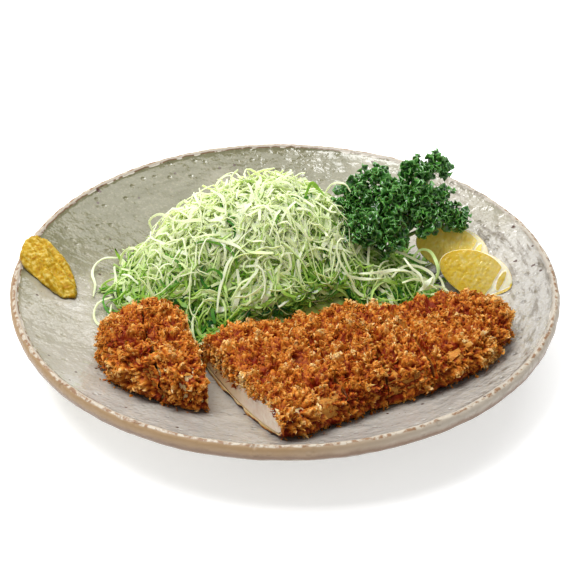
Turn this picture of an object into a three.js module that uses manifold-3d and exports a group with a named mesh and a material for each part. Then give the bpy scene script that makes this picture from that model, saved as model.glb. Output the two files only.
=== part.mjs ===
// A Japanese pork cutlet dinner plate: a hand-made stoneware plate with a breaded pork
// cutlet cut into seven slices, a heap of shredded cabbage, a bunch of curly parsley, two
// lemon wedges and a smear of grainy mustard. Millimetres, +Z up. The origin is the centre
// of the foot ring on the table, and -Y is the side that faces the diner.
import * as THREE from 'three';
import { mergeVertices } from 'three/addons/utils/BufferGeometryUtils.js';
import Module from 'manifold-3d';

const wasm = await Module();
wasm.setup();

// ---------------------------------------------------------------- driving dimensions

const GAP = 0.3; // clearance kept between pieces that touch
const REST = 0.45; // height of everything above the ideal plate surface

const PLATE = {
  radius: 125,
  floorHeight: 12, // top of the flat middle
  floorRadius: 50, // where the wall starts to rise
  wallRadius: 123, // where the wall reaches the lip
  wallRise: 21.5,
  wallPower: 1.75,
  wallThickness: 6.8,
  lipHeight: 34,
  footOuter: 46,
  footInner: 40,
  recess: 4.4, // height of the underside inside the foot ring
  sides: 56,
};

const RIM_WOBBLE = { lift: 1.0, liftAt: 130, twist: 0.5, twistAt: 125 };

const CUTLET = {
  mainThickness: 19.5,
  endThickness: 23,
  edgeThickness: 3, // height of the widest line of the rim above its base
  taper: 20, // distance over which the top rises to full height
  roundness: 2.4,
  overCrust: 5.5, // breading over the meat
  sideCrust: 3.4,
  underCrust: 2.4,
  meatTaper: 8,
  cragHeight: 1.4,
  cragSize: 6,
  backHeight: 12.6, // the back edge lies on the floor of the plate
  lean: 0.12, // rise of the cutlet's base toward the front wall
};

const CUTLET_TURN = THREE.MathUtils.degToRad(27); // long axis of the main cutlet

const CABBAGE = {
  centre: [-7, 14],
  peak: [-6, 19],
  peakHeight: 53,
  peakSpread: { left: 58, right: 43, depth: 37 },
  shoulder: [54, 10],
  shoulderHeight: 13,
  shoulderSpread: { left: 22, right: 24, depth: 22 },
  reach: { left: 73, right: 76, back: 44, front: 50 },
  shreds: 62,
  shredWidth: 2.8,
  shredThickness: 1.2,
  shredSteps: 6,
};

// The oval cut face of a wedge is fuller toward its right end, by a share of its width.
const LEMON = { halfLength: 17.6, halfWidth: 10.8, depth: 13, fullness: 0.12 };

const PARSLEY = { lumpRadius: 9.5, leafletRadius: 7, leaflets: 14, stemRadius: 1.2 };

const MUSTARD = { height: 5, ridge: 0.9 };

// ---------------------------------------------------------------- small helpers

// Repeatable pseudo-random numbers between 0 and 1.
function randomFrom(seed) {
  let state = seed >>> 0;
  return () => {
    state = (state + 0x6d2b79f5) >>> 0;
    let t = state;
    t = Math.imul(t ^ (t >>> 15), t | 1);
    t ^= t + Math.imul(t ^ (t >>> 7), t | 61);
    return ((t ^ (t >>> 14)) >>> 0) / 4294967296;
  };
}

function latticeValue(i, j, k) {
  const wave = Math.sin(i * 127.1 + j * 311.7 + k * 74.7) * 43758.5453;
  return 2 * (wave - Math.floor(wave)) - 1;
}

function smooth(t) {
  return t * t * (3 - 2 * t);
}

// Smooth value noise between -1 and 1.
function noise(x, y, z) {
  const i = Math.floor(x);
  const j = Math.floor(y);
  const k = Math.floor(z);
  const fx = smooth(x - i);
  const fy = smooth(y - j);
  const fz = smooth(z - k);
  const mix = THREE.MathUtils.lerp;
  const row = (b, c) => mix(latticeValue(i, b, c), latticeValue(i + 1, b, c), fx);
  const face = (c) => mix(row(j, c), row(j + 1, c), fy);
  return mix(face(k), face(k + 1), fz);
}

function degrees(x, y) {
  return THREE.MathUtils.radToDeg(Math.atan2(y, x));
}

function clamp01(t) {
  return THREE.MathUtils.clamp(t, 0, 1);
}

// ---------------------------------------------------------------- solids

// A closed solid from a geometry whose triangles meet at shared positions.
function solidFrom(geometry) {
  const bare = geometry.clone();
  bare.deleteAttribute('normal');
  bare.deleteAttribute('uv');
  const merged = mergeVertices(bare, 1e-4);
  const source = merged.index.array;
  const triangles = [];
  for (let k = 0; k < source.length; k += 3) {
    const [a, b, c] = [source[k], source[k + 1], source[k + 2]];
    if (a !== b && b !== c && c !== a) triangles.push(a, b, c);
  }
  return solidFromTriangles(merged.attributes.position.array, triangles);
}

function signedVolume(positions, triangles) {
  const a = new THREE.Vector3();
  const b = new THREE.Vector3();
  const c = new THREE.Vector3();
  let total = 0;
  for (let k = 0; k < triangles.length; k += 3) {
    a.fromArray(positions, triangles[k] * 3);
    b.fromArray(positions, triangles[k + 1] * 3);
    c.fromArray(positions, triangles[k + 2] * 3);
    total += a.dot(b.cross(c)) / 6;
  }
  return total;
}

function solidFromTriangles(positions, triangles) {
  const turned = signedVolume(positions, triangles) < 0;
  const triVerts = new Uint32Array(triangles);
  if (turned) triVerts.reverse();
  const mesh = new wasm.Mesh({
    numProp: 3,
    vertProperties: new Float32Array(positions),
    triVerts,
  });
  mesh.merge();
  return new wasm.Manifold(mesh);
}

// Triangles between two rings of points; a ring of one point is a pole.
function bandBetween(low, high, triangles) {
  const sides = Math.max(low.count, high.count);
  for (let k = 0; k < sides; k++) {
    const next = (k + 1) % sides;
    const lowA = low.start + (low.count === 1 ? 0 : k);
    const lowB = low.start + (low.count === 1 ? 0 : next);
    const highA = high.start + (high.count === 1 ? 0 : k);
    const highB = high.start + (high.count === 1 ? 0 : next);
    if (low.count > 1) triangles.push(lowA, lowB, highB);
    if (high.count > 1) triangles.push(lowA, highB, highA);
  }
}

// Cap over the ring at one end, zigzag between its first half and its second.
function capOver({ start, count }, flipped, triangles) {
  const push = (a, b, c) => {
    if (flipped) triangles.push(start + a, start + c, start + b);
    else triangles.push(start + a, start + b, start + c);
  };
  for (let k = 0; k < Math.floor(count / 2); k++) {
    const across = count - 1 - k;
    if (k + 1 !== across) push(k, k + 1, across);
    if (k !== 0) push(k, across, count - k);
  }
}

// A closed solid through rings of [x, y, z] points, each with as many points as the next,
// except poles of one point. Open ends get a cap, unless the last ring meets the first.
function solidThrough(rings, looped = false) {
  const positions = [];
  const triangles = [];
  const spans = rings.map((ring) => {
    const span = { start: positions.length / 3, count: ring.length };
    ring.forEach((point) => positions.push(...point));
    return span;
  });
  const last = spans[spans.length - 1];
  for (let k = 0; k + 1 < spans.length; k++) bandBetween(spans[k], spans[k + 1], triangles);
  if (looped) {
    bandBetween(last, spans[0], triangles);
  } else {
    capOver(spans[0], true, triangles);
    capOver(last, false, triangles);
  }
  return solidFromTriangles(positions, triangles);
}

function largestPiece(solid) {
  const pieces = solid.decompose();
  pieces.sort((a, b) => b.volume() - a.volume());
  return pieces[0];
}

function meshFrom(name, solid, material) {
  const { vertProperties, triVerts } = solid.getMesh();
  const geometry = new THREE.BufferGeometry();
  geometry.setAttribute('position', new THREE.BufferAttribute(vertProperties, 3));
  geometry.setIndex(new THREE.BufferAttribute(triVerts, 1));
  geometry.computeVertexNormals();
  const mesh = new THREE.Mesh(geometry, material);
  mesh.name = name;
  return mesh;
}

function food(color, roughness) {
  return new THREE.MeshStandardMaterial({ color, roughness, metalness: 0 });
}

// Evenly spaced points on a closed smooth curve through plan points [x, y].
function closedOutline(corners, count) {
  const curve = new THREE.CatmullRomCurve3(
    corners.map(([x, y]) => new THREE.Vector3(x, y, 0)),
    true,
    'centripetal',
  );
  return curve.getSpacedPoints(count).slice(0, count);
}

// The outline moved outward (or inward for a negative distance) along its normals.
function offsetOutline(outline, distance) {
  const count = outline.length;
  const area = outline.reduce((sum, p, k) => {
    const q = outline[(k + 1) % count];
    return sum + p.x * q.y - q.x * p.y;
  }, 0);
  return outline.map((point, k) => {
    const before = outline[(k + count - 1) % count];
    const after = outline[(k + 1) % count];
    const outward = new THREE.Vector3(after.y - before.y, before.x - after.x, 0).normalize();
    return point.clone().addScaledVector(outward, Math.sign(area) * distance);
  });
}

function distanceToOutline(x, y, outline) {
  let nearest = Infinity;
  const line = new THREE.Line3();
  const probe = new THREE.Vector3(x, y, 0);
  const foot = new THREE.Vector3();
  outline.forEach((point, k) => {
    line.set(point, outline[(k + 1) % outline.length]);
    line.closestPointToPoint(probe, true, foot);
    nearest = Math.min(nearest, foot.distanceTo(probe));
  });
  return nearest;
}

function centreOf(outline) {
  const sum = outline.reduce((total, point) => total.add(point), new THREE.Vector3());
  return sum.divideScalar(outline.length);
}

// ---------------------------------------------------------------- plate

function wallHeight(radius) {
  const { floorHeight, floorRadius, wallRadius, wallRise, wallPower } = PLATE;
  const climb = Math.max(0, (radius - floorRadius) / (wallRadius - floorRadius));
  return floorHeight + wallRise * climb ** wallPower;
}

// Uneven rim of a plate thrown by hand: nothing at the foot, all of it at the lip.
function rimWobble(x, y) {
  const radius = Math.hypot(x, y);
  const fade = Math.max(0, (radius - PLATE.footOuter) / (PLATE.radius - PLATE.footOuter));
  const angle = degrees(x, y);
  const lift = Math.cos(THREE.MathUtils.degToRad(angle - RIM_WOBBLE.liftAt));
  const twist = Math.cos(2 * THREE.MathUtils.degToRad(angle - RIM_WOBBLE.twistAt));
  return fade ** 1.5 * (RIM_WOBBLE.lift * lift + RIM_WOBBLE.twist * twist);
}

function plateTop(x, y) {
  return wallHeight(Math.hypot(x, y)) + rimWobble(x, y);
}

function plateProfile() {
  const { radius, lipHeight, wallThickness, footOuter, footInner, recess } = PLATE;
  const inside = [0, 30, 50, 62, 74, 86, 98, 110, 121.3].map((r) => [r, wallHeight(r)]);
  const lip = [
    [radius - 2.2, lipHeight],
    [radius, lipHeight - 2.8],
    [radius - 0.7, lipHeight - 6.4],
  ];
  const outside = [116, 98, 80, 62].map((r) => [r, wallHeight(r) - wallThickness]);
  const foot = [
    [footOuter + 0.6, recess + 0.4],
    [footOuter, 0],
    [footInner, 0],
    [footInner - 0.6, recess],
    [0, recess],
  ];
  return [...inside, ...lip, ...outside, ...foot].map(([r, z]) => new THREE.Vector2(r, z));
}

function plateSolid() {
  const geometry = new THREE.LatheGeometry(plateProfile(), PLATE.sides);
  geometry.rotateX(Math.PI / 2);
  const position = geometry.attributes.position;
  for (let k = 0; k < position.count; k++) {
    const [x, y] = [position.getX(k), position.getY(k)];
    position.setZ(k, position.getZ(k) + rimWobble(x, y));
  }
  return solidFrom(geometry);
}

// ---------------------------------------------------------------- cutlet

// Plan point of the main cutlet from its own axes: u along it, v toward its back.
function onCutlet([u, v]) {
  const [c, s] = [Math.cos(CUTLET_TURN), Math.sin(CUTLET_TURN)];
  return [u * c - v * s, u * s + v * c];
}

const MAIN_OUTLINE = [
  [-66, -101], [-54, -104], [-45, -104], [-35, -101], [-22, -98.5], [-9, -95.5], [5, -95],
  [16, -97], [28, -97.5], [40, -97], [51, -95], [60.5, -90], [68.5, -83], [73.5, -74.5],
  [76.5, -65], [76, -56], [72, -47.5], [64, -40], [55, -37], [46, -35.5], [37, -32.5],
  [30, -29.5], [24, -23.5], [16, -19], [6, -20.5], [-6, -20], [-16, -16.5], [-28, -12.5],
  [-38, -13], [-47, -16], [-60, -22], [-72, -60],
].map(onCutlet);

const END_OUTLINE = [
  [-82.5, -43], [-79.5, -32], [-72, -20], [-62, -12], [-53, -10.5], [-47.5, -14], [-43, -23],
  [-33, -46], [-24, -70], [-29, -83], [-36, -87.5], [-45, -86.5], [-56, -82], [-66, -77],
  [-74.5, -69.5], [-80, -57],
];

const BODIES = {
  main: { corners: MAIN_OUTLINE, thickness: CUTLET.mainThickness },
  end: { corners: END_OUTLINE, thickness: CUTLET.endThickness },
};

// Cuts through the cutlets as plan lines, front end first: the gap at the plate, how much
// wider it stands at the top, and the share of the breading's height worn off at the cut.
const CUTS = {
  a: { front: [-48.5, -100], back: [-69, -5], gap: 0.5, flare: 1 },
  endFace: { front: [-28.5, -98], back: [-48.5, -4], gap: 0, flare: 0, worn: 0.05 },
  mainEnd: {
    front: onCutlet([-53.5, -112]), back: onCutlet([-51, -8]), gap: 0, flare: 0, worn: 0.07,
  },
  b: { front: onCutlet([-38, -112]), back: onCutlet([-27.5, -10]), gap: 0.5, flare: 0.6 },
  bc: { front: onCutlet([-21, -112]), back: onCutlet([-11.5, -10]), gap: 0.5, flare: 1 },
  c: { front: onCutlet([-3, -108]), back: onCutlet([23.5, -10]), gap: 0.5, flare: 1.4 },
  cd: { front: onCutlet([19, -112]), back: onCutlet([33, -14]), gap: 0.8, flare: 2.6 },
};

// From left to right; a slice without a cut on one side ends there in the rounded rim.
const SLICES = [
  { name: 'a1', body: 'end', right: 'a', bands: 6 },
  { name: 'a2', body: 'end', left: 'a', right: 'endFace', bands: 4 },
  { name: 'b1', body: 'main', left: 'mainEnd', right: 'b', bands: 4 },
  { name: 'b2', body: 'main', left: 'b', right: 'bc', bands: 4 },
  { name: 'c1', body: 'main', left: 'bc', right: 'c', bands: 4 },
  { name: 'c2', body: 'main', left: 'c', right: 'cd', bands: 4 },
  { name: 'd', body: 'main', left: 'cd', bands: 9 },
];

// Base of a cutlet: it lies on the floor of the plate and leans on the wall in front.
function cutletBase(x, y) {
  const [c, s] = [Math.cos(CUTLET_TURN), Math.sin(CUTLET_TURN)];
  const v = y * c - x * s;
  const leaning = CUTLET.backHeight + CUTLET.lean * Math.max(0, -v - 30);
  return Math.max(plateTop(x, y) + REST, leaning);
}

function crags(x, y) {
  const size = CUTLET.cragSize;
  const coarse = noise(x / size, y / size, 0.5);
  const fine = noise((2.3 * x) / size + 7, (2.3 * y) / size, 3.5);
  return 0.7 * coarse + 0.5 * fine;
}

// Share of the full height reached at a distance inward from the rim.
function swell(distance, taper) {
  const far = 1 - clamp01(distance / taper);
  return (1 - far ** CUTLET.roundness) ** (1 / CUTLET.roundness);
}

// One surface of a cutlet: a plan outline with heights above the base inside it.
function layerOf(body, { inset, bottom, edge, top, taper, crag = 0, spread = 0, wear = 0 }) {
  const outline = offsetOutline(closedOutline(body.corners, 110), -inset);
  return {
    outline,
    edge,
    spread,
    wear,
    over(x, y) {
      const inward = distanceToOutline(x, y, outline);
      const rough = crag * clamp01(inward / 3) * crags(x, y);
      return edge + (top - edge) * swell(inward, taper) + rough;
    },
    under(x, y) {
      const inward = clamp01(distanceToOutline(x, y, outline) / 4);
      return bottom + (edge - bottom) * (1 - inward) ** 2;
    },
  };
}

function coatingLayer(body) {
  const { edgeThickness, taper, cragHeight } = CUTLET;
  return layerOf(body, {
    inset: 0, bottom: 0, edge: edgeThickness, top: body.thickness, taper, crag: cragHeight,
    wear: 1,
  });
}

// The meat inside the breading, or with extra clearance the hollow that it lies in.
function meatLayer(body, clearance) {
  const bottom = CUTLET.underCrust - clearance;
  return layerOf(body, {
    inset: CUTLET.sideCrust - clearance,
    bottom,
    edge: bottom + 1.5,
    top: body.thickness - CUTLET.overCrust + clearance,
    taper: CUTLET.meatTaper,
  });
}

// Space kept clear round a cutlet when its neighbours are shaped.
function clearanceLayer(body) {
  const { edgeThickness, taper } = CUTLET;
  return layerOf(body, {
    inset: -2, bottom: -3, edge: edgeThickness, top: body.thickness + 2, taper: 0.6 * taper,
    spread: 1,
  });
}

// Unit vector to the right of a plan line that runs from front to back.
function rightOf({ front, back }) {
  return new THREE.Vector2(back[1] - front[1], front[0] - back[0]).normalize();
}

function signedDistance(point, line) {
  const right = rightOf(line);
  return (point.x - line.front[0]) * right.x + (point.y - line.front[1]) * right.y;
}

// Front and back points at which a plan line crosses a closed outline.
function chordOf(outline, line) {
  const along = new THREE.Vector3(line.back[0] - line.front[0], line.back[1] - line.front[1], 0);
  const hits = [];
  outline.forEach((point, k) => {
    const next = outline[(k + 1) % outline.length];
    const a = signedDistance(point, line);
    const b = signedDistance(next, line);
    if (a < 0 !== b < 0) hits.push(point.clone().lerp(next, a / (a - b)));
  });
  hits.sort((p, q) => p.dot(along) - q.dot(along));
  return [hits[0], hits[hits.length - 1]];
}

function shiftLine({ front, back }, right, distance) {
  const move = ([x, y]) => [x + right.x * distance, y + right.y * distance];
  return { front: move(front), back: move(back) };
}

function lineBetween(left, right, share) {
  const blend = ([x, y], [p, q]) => [x + share * (p - x), y + share * (q - y)];
  return { front: blend(left.front, right.front), back: blend(left.back, right.back) };
}

// Closed section of a layer over a plan line: front rim, top, back rim, underside. At a
// cut, side (1 or -1) moves it off the cut line by half of the opening at each height.
function sectionRing(layer, line, steps, cut, side) {
  const [near, far] = chordOf(layer.outline, line);
  const right = cut ? rightOf(cut) : null;
  const pointAt = (share, heightOf) => {
    const { x, y } = near.clone().lerp(far, share);
    let height = heightOf(x, y);
    const worn = cut && cut.worn ? layer.wear * cut.worn : 0;
    height -= worn * Math.max(0, height - layer.edge);
    const opening = cut ? cut.gap + cut.flare * (height / CUTLET.mainThickness) ** 2 : 0;
    const move = cut ? side * (opening / 2 - layer.spread) : 0;
    const [dx, dy] = right ? [right.x * move, right.y * move] : [0, 0];
    return [x + dx, y + dy, cutletBase(x, y) + height];
  };
  const shareAt = (k) => {
    const even = k / steps;
    return 0.6 * even + 0.4 * 0.5 * (1 - Math.cos(Math.PI * even));
  };
  const edge = () => layer.edge;
  const ring = [pointAt(0, edge)];
  for (let k = 1; k < steps; k++) ring.push(pointAt(shareAt(k), layer.over));
  ring.push(pointAt(1, edge));
  for (let k = steps - 1; k > 0; k--) ring.push(pointAt(shareAt(k), layer.under));
  return ring;
}

// Sections of a slice between its two cuts, left one first.
function ringsBetween(layer, left, right, bands, steps) {
  return Array.from({ length: bands + 1 }, (_, k) => {
    const line = lineBetween(left, right, k / bands);
    if (k === 0) return sectionRing(layer, line, steps, left, 1);
    if (k === bands) return sectionRing(layer, line, steps, right, -1);
    return sectionRing(layer, line, steps, null, 0);
  });
}

// Sections from the one cut of an end slice to a pole at its rounded tip; side says
// whether the slice lies to the right (1) or the left (-1) of the cut.
function ringsToTip(layer, cut, side, bands, steps) {
  const right = rightOf(cut);
  const reach = Math.max(...layer.outline.map((point) => side * signedDistance(point, cut)));
  const rings = [sectionRing(layer, cut, steps, cut, side)];
  for (let k = 1; k < bands; k++) {
    const share = 1 - (1 - k / bands) ** 1.5;
    const line = shiftLine(cut, right, side * reach * share);
    rings.push(sectionRing(layer, line, steps, null, 0));
  }
  const tip = layer.outline.find((point) => side * signedDistance(point, cut) >= reach - 1e-6);
  rings.push([[tip.x, tip.y, cutletBase(tip.x, tip.y) + layer.edge]]);
  return rings;
}

function ringsOf(slice, layer, bands, steps) {
  const [left, right] = [CUTS[slice.left], CUTS[slice.right]];
  if (left && right) return ringsBetween(layer, left, right, bands, steps);
  return left
    ? ringsToTip(layer, left, 1, bands, steps)
    : ringsToTip(layer, right, -1, bands, steps);
}

const SECTION_STEPS = 12; // points over the top of each section

function sliceParts(slice) {
  const body = BODIES[slice.body];
  const whole = slice.left !== undefined && slice.right !== undefined;
  const innerBands = whole ? 1 : Math.ceil(slice.bands / 2);
  const ringsIn = (layer, bands) => ringsOf(slice, layer, bands, SECTION_STEPS);
  const outside = ringsIn(coatingLayer(body), slice.bands);
  const inside = ringsIn(meatLayer(body, GAP), innerBands);
  const meatRings = ringsIn(meatLayer(body, 0), innerBands);
  const space = solidThrough(ringsIn(clearanceLayer(body), innerBands + 1));
  if (whole) {
    // The same order for meat and hollow, so that their faces split alike.
    inside.reverse();
    meatRings.reverse();
  } else {
    outside.reverse();
  }
  const coating = solidThrough([...outside, ...inside], whole);
  return { name: slice.name, coating, meat: solidThrough(meatRings), space };
}

// ---------------------------------------------------------------- lemon wedges

const LEMONS = [
  { name: 'lemon_front', at: [88.5, 8, 28.5], long: [0.9, -0.16, -0.34], face: [-0.1, -0.78, 0.62] },
  { name: 'lemon_back', at: [79, 26, 31], long: [0.92, -0.1, -0.32], face: [-0.14, -0.72, 0.68] },
];

// Half of a lemon's end: an oval cut face with a domed rind behind it.
function lemonSolid({ at, long, face }, grow) {
  const centre = new THREE.Vector3(...at);
  const normal = new THREE.Vector3(...face).normalize();
  const lengthwise = new THREE.Vector3(...long);
  lengthwise.addScaledVector(normal, -lengthwise.dot(normal)).normalize();
  const crosswise = new THREE.Vector3().crossVectors(normal, lengthwise);
  const sides = 22;
  const ring = (scale, depth) =>
    Array.from({ length: sides }, (_, k) => {
      const angle = (2 * Math.PI * k) / sides;
      const point = centre.clone();
      const fuller = 1 + LEMON.fullness * Math.cos(angle);
      const halfWidth = fuller * (LEMON.halfWidth + grow);
      point.addScaledVector(lengthwise, scale * (LEMON.halfLength + grow) * Math.cos(angle));
      point.addScaledVector(crosswise, scale * halfWidth * Math.sin(angle));
      point.addScaledVector(normal, -depth);
      return point.toArray();
    });
  const domeAngles = [12, 28, 46, 64, 80];
  const dome = domeAngles.map((angle) => {
    const turn = THREE.MathUtils.degToRad(angle);
    return ring(Math.cos(turn), (LEMON.depth + grow) * Math.sin(turn));
  });
  const pole = centre.clone().addScaledVector(normal, -LEMON.depth - grow).toArray();
  const faceCentre = centre.clone().addScaledVector(normal, 0.8 + grow).toArray();
  return solidThrough([
    [faceCentre],
    ring(0.55, -0.6 - grow),
    ring(0.9, -0.1 - grow),
    ring(1, 0.4 - grow),
    ...dome,
    [pole],
  ]);
}

// ---------------------------------------------------------------- mustard

const MUSTARD_OUTLINE = [
  [-122, 22], [-118.8, 28.8], [-113.8, 30], [-105.7, 24.2], [-100, 15], [-97, 4],
  [-96.6, -4], [-101.6, -6.8], [-109.8, -2], [-117, 2.6], [-122.2, 8],
];

function mustardSolid() {
  const outline = closedOutline(MUSTARD_OUTLINE, 24);
  const middle = centreOf(outline);
  const height = (x, y, scale) => {
    const swellHere = Math.sqrt(Math.max(0, 1 - scale ** 2));
    const across = 0.83 * (x - middle.x) + 0.55 * (y - middle.y);
    const ridges = MUSTARD.ridge * Math.sin(across * 0.9) * (1 - scale ** 4);
    return MUSTARD.height * swellHere + ridges;
  };
  // Near the lip the underside rises clear of the rounded rim.
  const under = (x, y) => plateTop(x, y) + REST + 0.4 * Math.max(0, Math.hypot(x, y) - 119);
  const ring = (scale, raise) =>
    outline.map((point) => {
      const x = middle.x + scale * (point.x - middle.x);
      const y = middle.y + scale * (point.y - middle.y);
      return [x, y, under(x, y) + (raise ? 0.4 + height(x, y, scale) : 0)];
    });
  const [x, y] = [middle.x, middle.y];
  return solidThrough([
    [[x, y, under(x, y)]],
    ring(0.55, false),
    ring(0.94, false),
    ring(1, true),
    ring(0.9, true),
    ring(0.72, true),
    ring(0.5, true),
    ring(0.26, true),
    [[x, y, under(x, y) + 0.4 + height(x, y, 0)]],
  ]);
}

// ---------------------------------------------------------------- cabbage

// A mound with a broad top: 1 at its middle, falling off past its spread.
function mound([x0, y0], spread, x, y) {
  const sideways = (x - x0) / (x > x0 ? spread.right : spread.left);
  const far = sideways ** 2 + ((y - y0) / spread.depth) ** 2;
  return Math.exp(-(far ** 1.5));
}

function cabbageReach(angle) {
  const { left, right, back, front } = CABBAGE.reach;
  const [c, s] = [Math.cos(angle), Math.sin(angle)];
  const lengthwise = c > 0 ? right : left;
  const crosswise = s > 0 ? back : front;
  return 1 / Math.hypot(c / lengthwise, s / crosswise);
}

// Share of the way from the middle of the heap to its edge.
function cabbageShare(x, y) {
  const [dx, dy] = [x - CABBAGE.centre[0], y - CABBAGE.centre[1]];
  return Math.hypot(dx, dy) / cabbageReach(Math.atan2(dy, dx));
}

function cabbageTop(x, y) {
  const { peak, peakSpread, peakHeight, shoulder, shoulderSpread, shoulderHeight } = CABBAGE;
  const edge = Math.max(0, 1 - cabbageShare(x, y) ** 4) ** 0.5;
  const heap = peakHeight * mound(peak, peakSpread, x, y);
  const side = shoulderHeight * mound(shoulder, shoulderSpread, x, y);
  const lumps = 2 * noise(x / 14, y / 14, 2.5);
  return plateTop(x, y) + REST + edge * (heap + side + lumps);
}

function cabbageCore(grow) {
  const sides = 28;
  const ring = (scale, top) =>
    Array.from({ length: sides }, (_, k) => {
      const angle = (2 * Math.PI * k) / sides;
      const radius = cabbageReach(angle) * scale;
      const x = CABBAGE.centre[0] + (radius + grow) * Math.cos(angle);
      const y = CABBAGE.centre[1] + (radius + grow) * Math.sin(angle);
      const inner = 0.985 * (x - CABBAGE.centre[0]) + CABBAGE.centre[0];
      return [x, y, top ? cabbageTop(inner, y) + grow : plateTop(x, y) + REST];
    });
  const [x, y] = CABBAGE.centre;
  return solidThrough([
    [[x, y, plateTop(x, y) + REST]],
    ring(0.5, false),
    ring(0.97, false),
    ring(1, true),
    ring(0.94, true),
    ring(0.82, true),
    ring(0.64, true),
    ring(0.44, true),
    ring(0.22, true),
    [[x, y, cabbageTop(x, y) + grow]],
  ]);
}

const SHRED_SINK = 1.5; // depth of a shred's ends below the surface of the core

function heapNormal(x, y) {
  const span = 3;
  const slopeX = (cabbageTop(x + span, y) - cabbageTop(x - span, y)) / (2 * span);
  const slopeY = (cabbageTop(x, y + span) - cabbageTop(x, y - span)) / (2 * span);
  return new THREE.Vector3(-slopeX, -slopeY, 1).normalize();
}

// Points of a shred's middle line on the heap, with the normal and direction at each.
function shredPath({ x, y, heading, length, bend }) {
  const steps = CABBAGE.shredSteps;
  const path = [];
  for (let k = 0; k <= steps; k++) {
    const normal = heapNormal(x, y);
    const level = new THREE.Vector3(Math.cos(heading), Math.sin(heading), 0);
    const tangent = level.addScaledVector(normal, -level.dot(normal)).normalize();
    path.push({ point: new THREE.Vector3(x, y, cabbageTop(x, y)), normal, tangent });
    x += (length / steps) * tangent.x;
    y += (length / steps) * tangent.y;
    heading += bend / steps;
  }
  return path;
}

// A bent ribbon of cabbage arching over the heap, thicker by extra all round.
function shredSolid(shred, extra) {
  const { shredWidth, shredThickness, shredSteps } = CABBAGE;
  const rings = shredPath(shred).map(({ point, normal, tangent }, k) => {
    const along = k / shredSteps;
    const rise = (shred.lift + SHRED_SINK) * Math.sin(Math.PI * along) ** 0.7 - SHRED_SINK;
    const wave = shred.wave * Math.sin(2 * Math.PI * along * shred.turns + shred.phase);
    const centre = point.clone().addScaledVector(normal, rise + wave);
    centre.z = Math.max(centre.z, plateTop(centre.x, centre.y) + REST + 1.6);
    const roll = shred.roll + shred.twist * along;
    const across = new THREE.Vector3().crossVectors(normal, tangent);
    const side = across.clone().multiplyScalar(Math.cos(roll));
    side.addScaledVector(normal, Math.sin(roll));
    const up = normal.clone().multiplyScalar(Math.cos(roll));
    up.addScaledVector(across, -Math.sin(roll));
    const corner = (a, b) => {
      const place = centre.clone();
      place.addScaledVector(side, a * (shredWidth / 2 + extra));
      place.addScaledVector(up, b * (shredThickness / 2 + extra));
      return place.toArray();
    };
    return [corner(-1, -1), corner(1, -1), corner(1, 1), corner(-1, 1)];
  });
  return solidThrough(rings);
}

// Random shape for a shred that starts at a given share of the way to the heap's edge.
function shredFrom(random, angle, share) {
  const radius = cabbageReach(angle) * share;
  return {
    x: CABBAGE.centre[0] + radius * Math.cos(angle),
    y: CABBAGE.centre[1] + radius * Math.sin(angle),
    heading: 2 * Math.PI * random(),
    length: 28 + 24 * random(),
    bend: 4.4 * (random() - 0.5),
    lift: 2 + 4.5 * random(),
    wave: 0.8 * random(),
    turns: 1 + random(),
    phase: 6 * random(),
    roll: 1.2 * (random() - 0.5),
    twist: 2 * (random() - 0.5),
  };
}

function staysOnHeap(shred) {
  return shredPath(shred).every(({ point }) => cabbageShare(point.x, point.y) < 1.08);
}

function meets(solid, others) {
  return others.some((other) => !other.intersect(solid).isEmpty());
}

// The heap: its core with shreds fused on, spread evenly over it, that cross neither each
// other nor the neighbours.
function cabbageSolid(core, obstacles) {
  const random = randomFrom(41);
  const goldenAngle = Math.PI * (3 - Math.sqrt(5));
  const shreds = [];
  for (let k = 0; k < CABBAGE.shreds; k++) {
    const share = 0.97 * Math.sqrt((k + 0.5) / CABBAGE.shreds);
    for (let tries = 0; tries < 16; tries++) {
      const shape = shredFrom(random, k * goldenAngle, share);
      if (!staysOnHeap(shape)) continue;
      const shred = shredSolid(shape, 0);
      const clear = !meets(shredSolid(shape, GAP), obstacles) && !meets(shred, shreds);
      if (!clear || !meets(shred, [core])) continue;
      shreds.push(shred);
      break;
    }
  }
  return largestPiece(wasm.Manifold.union([core, ...shreds]));
}

// ---------------------------------------------------------------- parsley

// Ruffled heads of the bunch: position and size.
const PARSLEY_HEADS = [
  [33, 28, 56, 1.15], [42, 37, 60, 1.0], [50, 27, 55, 1.2], [34, 12, 51, 1.05],
  [48, 14, 45, 1.05], [61, 32, 55, 1.1], [72, 34, 51, 0.95], [80, 32, 44, 0.85],
  [61, 42.5, 62, 0.85], [71, 45.5, 65, 0.75], [64, 24, 48, 0.9],
];

const PARSLEY_ROOT = [54, 26, 36];

function parsleyHead([x, y, z, size], index) {
  const geometry = new THREE.IcosahedronGeometry(PARSLEY.lumpRadius * size, 1);
  const position = geometry.attributes.position;
  for (let k = 0; k < position.count; k++) {
    const point = new THREE.Vector3().fromBufferAttribute(position, k);
    const rough = noise(point.x / 3.1 + 9 * index, point.y / 3.1, point.z / 3.1);
    point.multiplyScalar(1 + 0.24 * rough);
    position.setXYZ(k, point.x + x, point.y + y, point.z + z);
  }
  return solidFrom(geometry);
}

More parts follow.
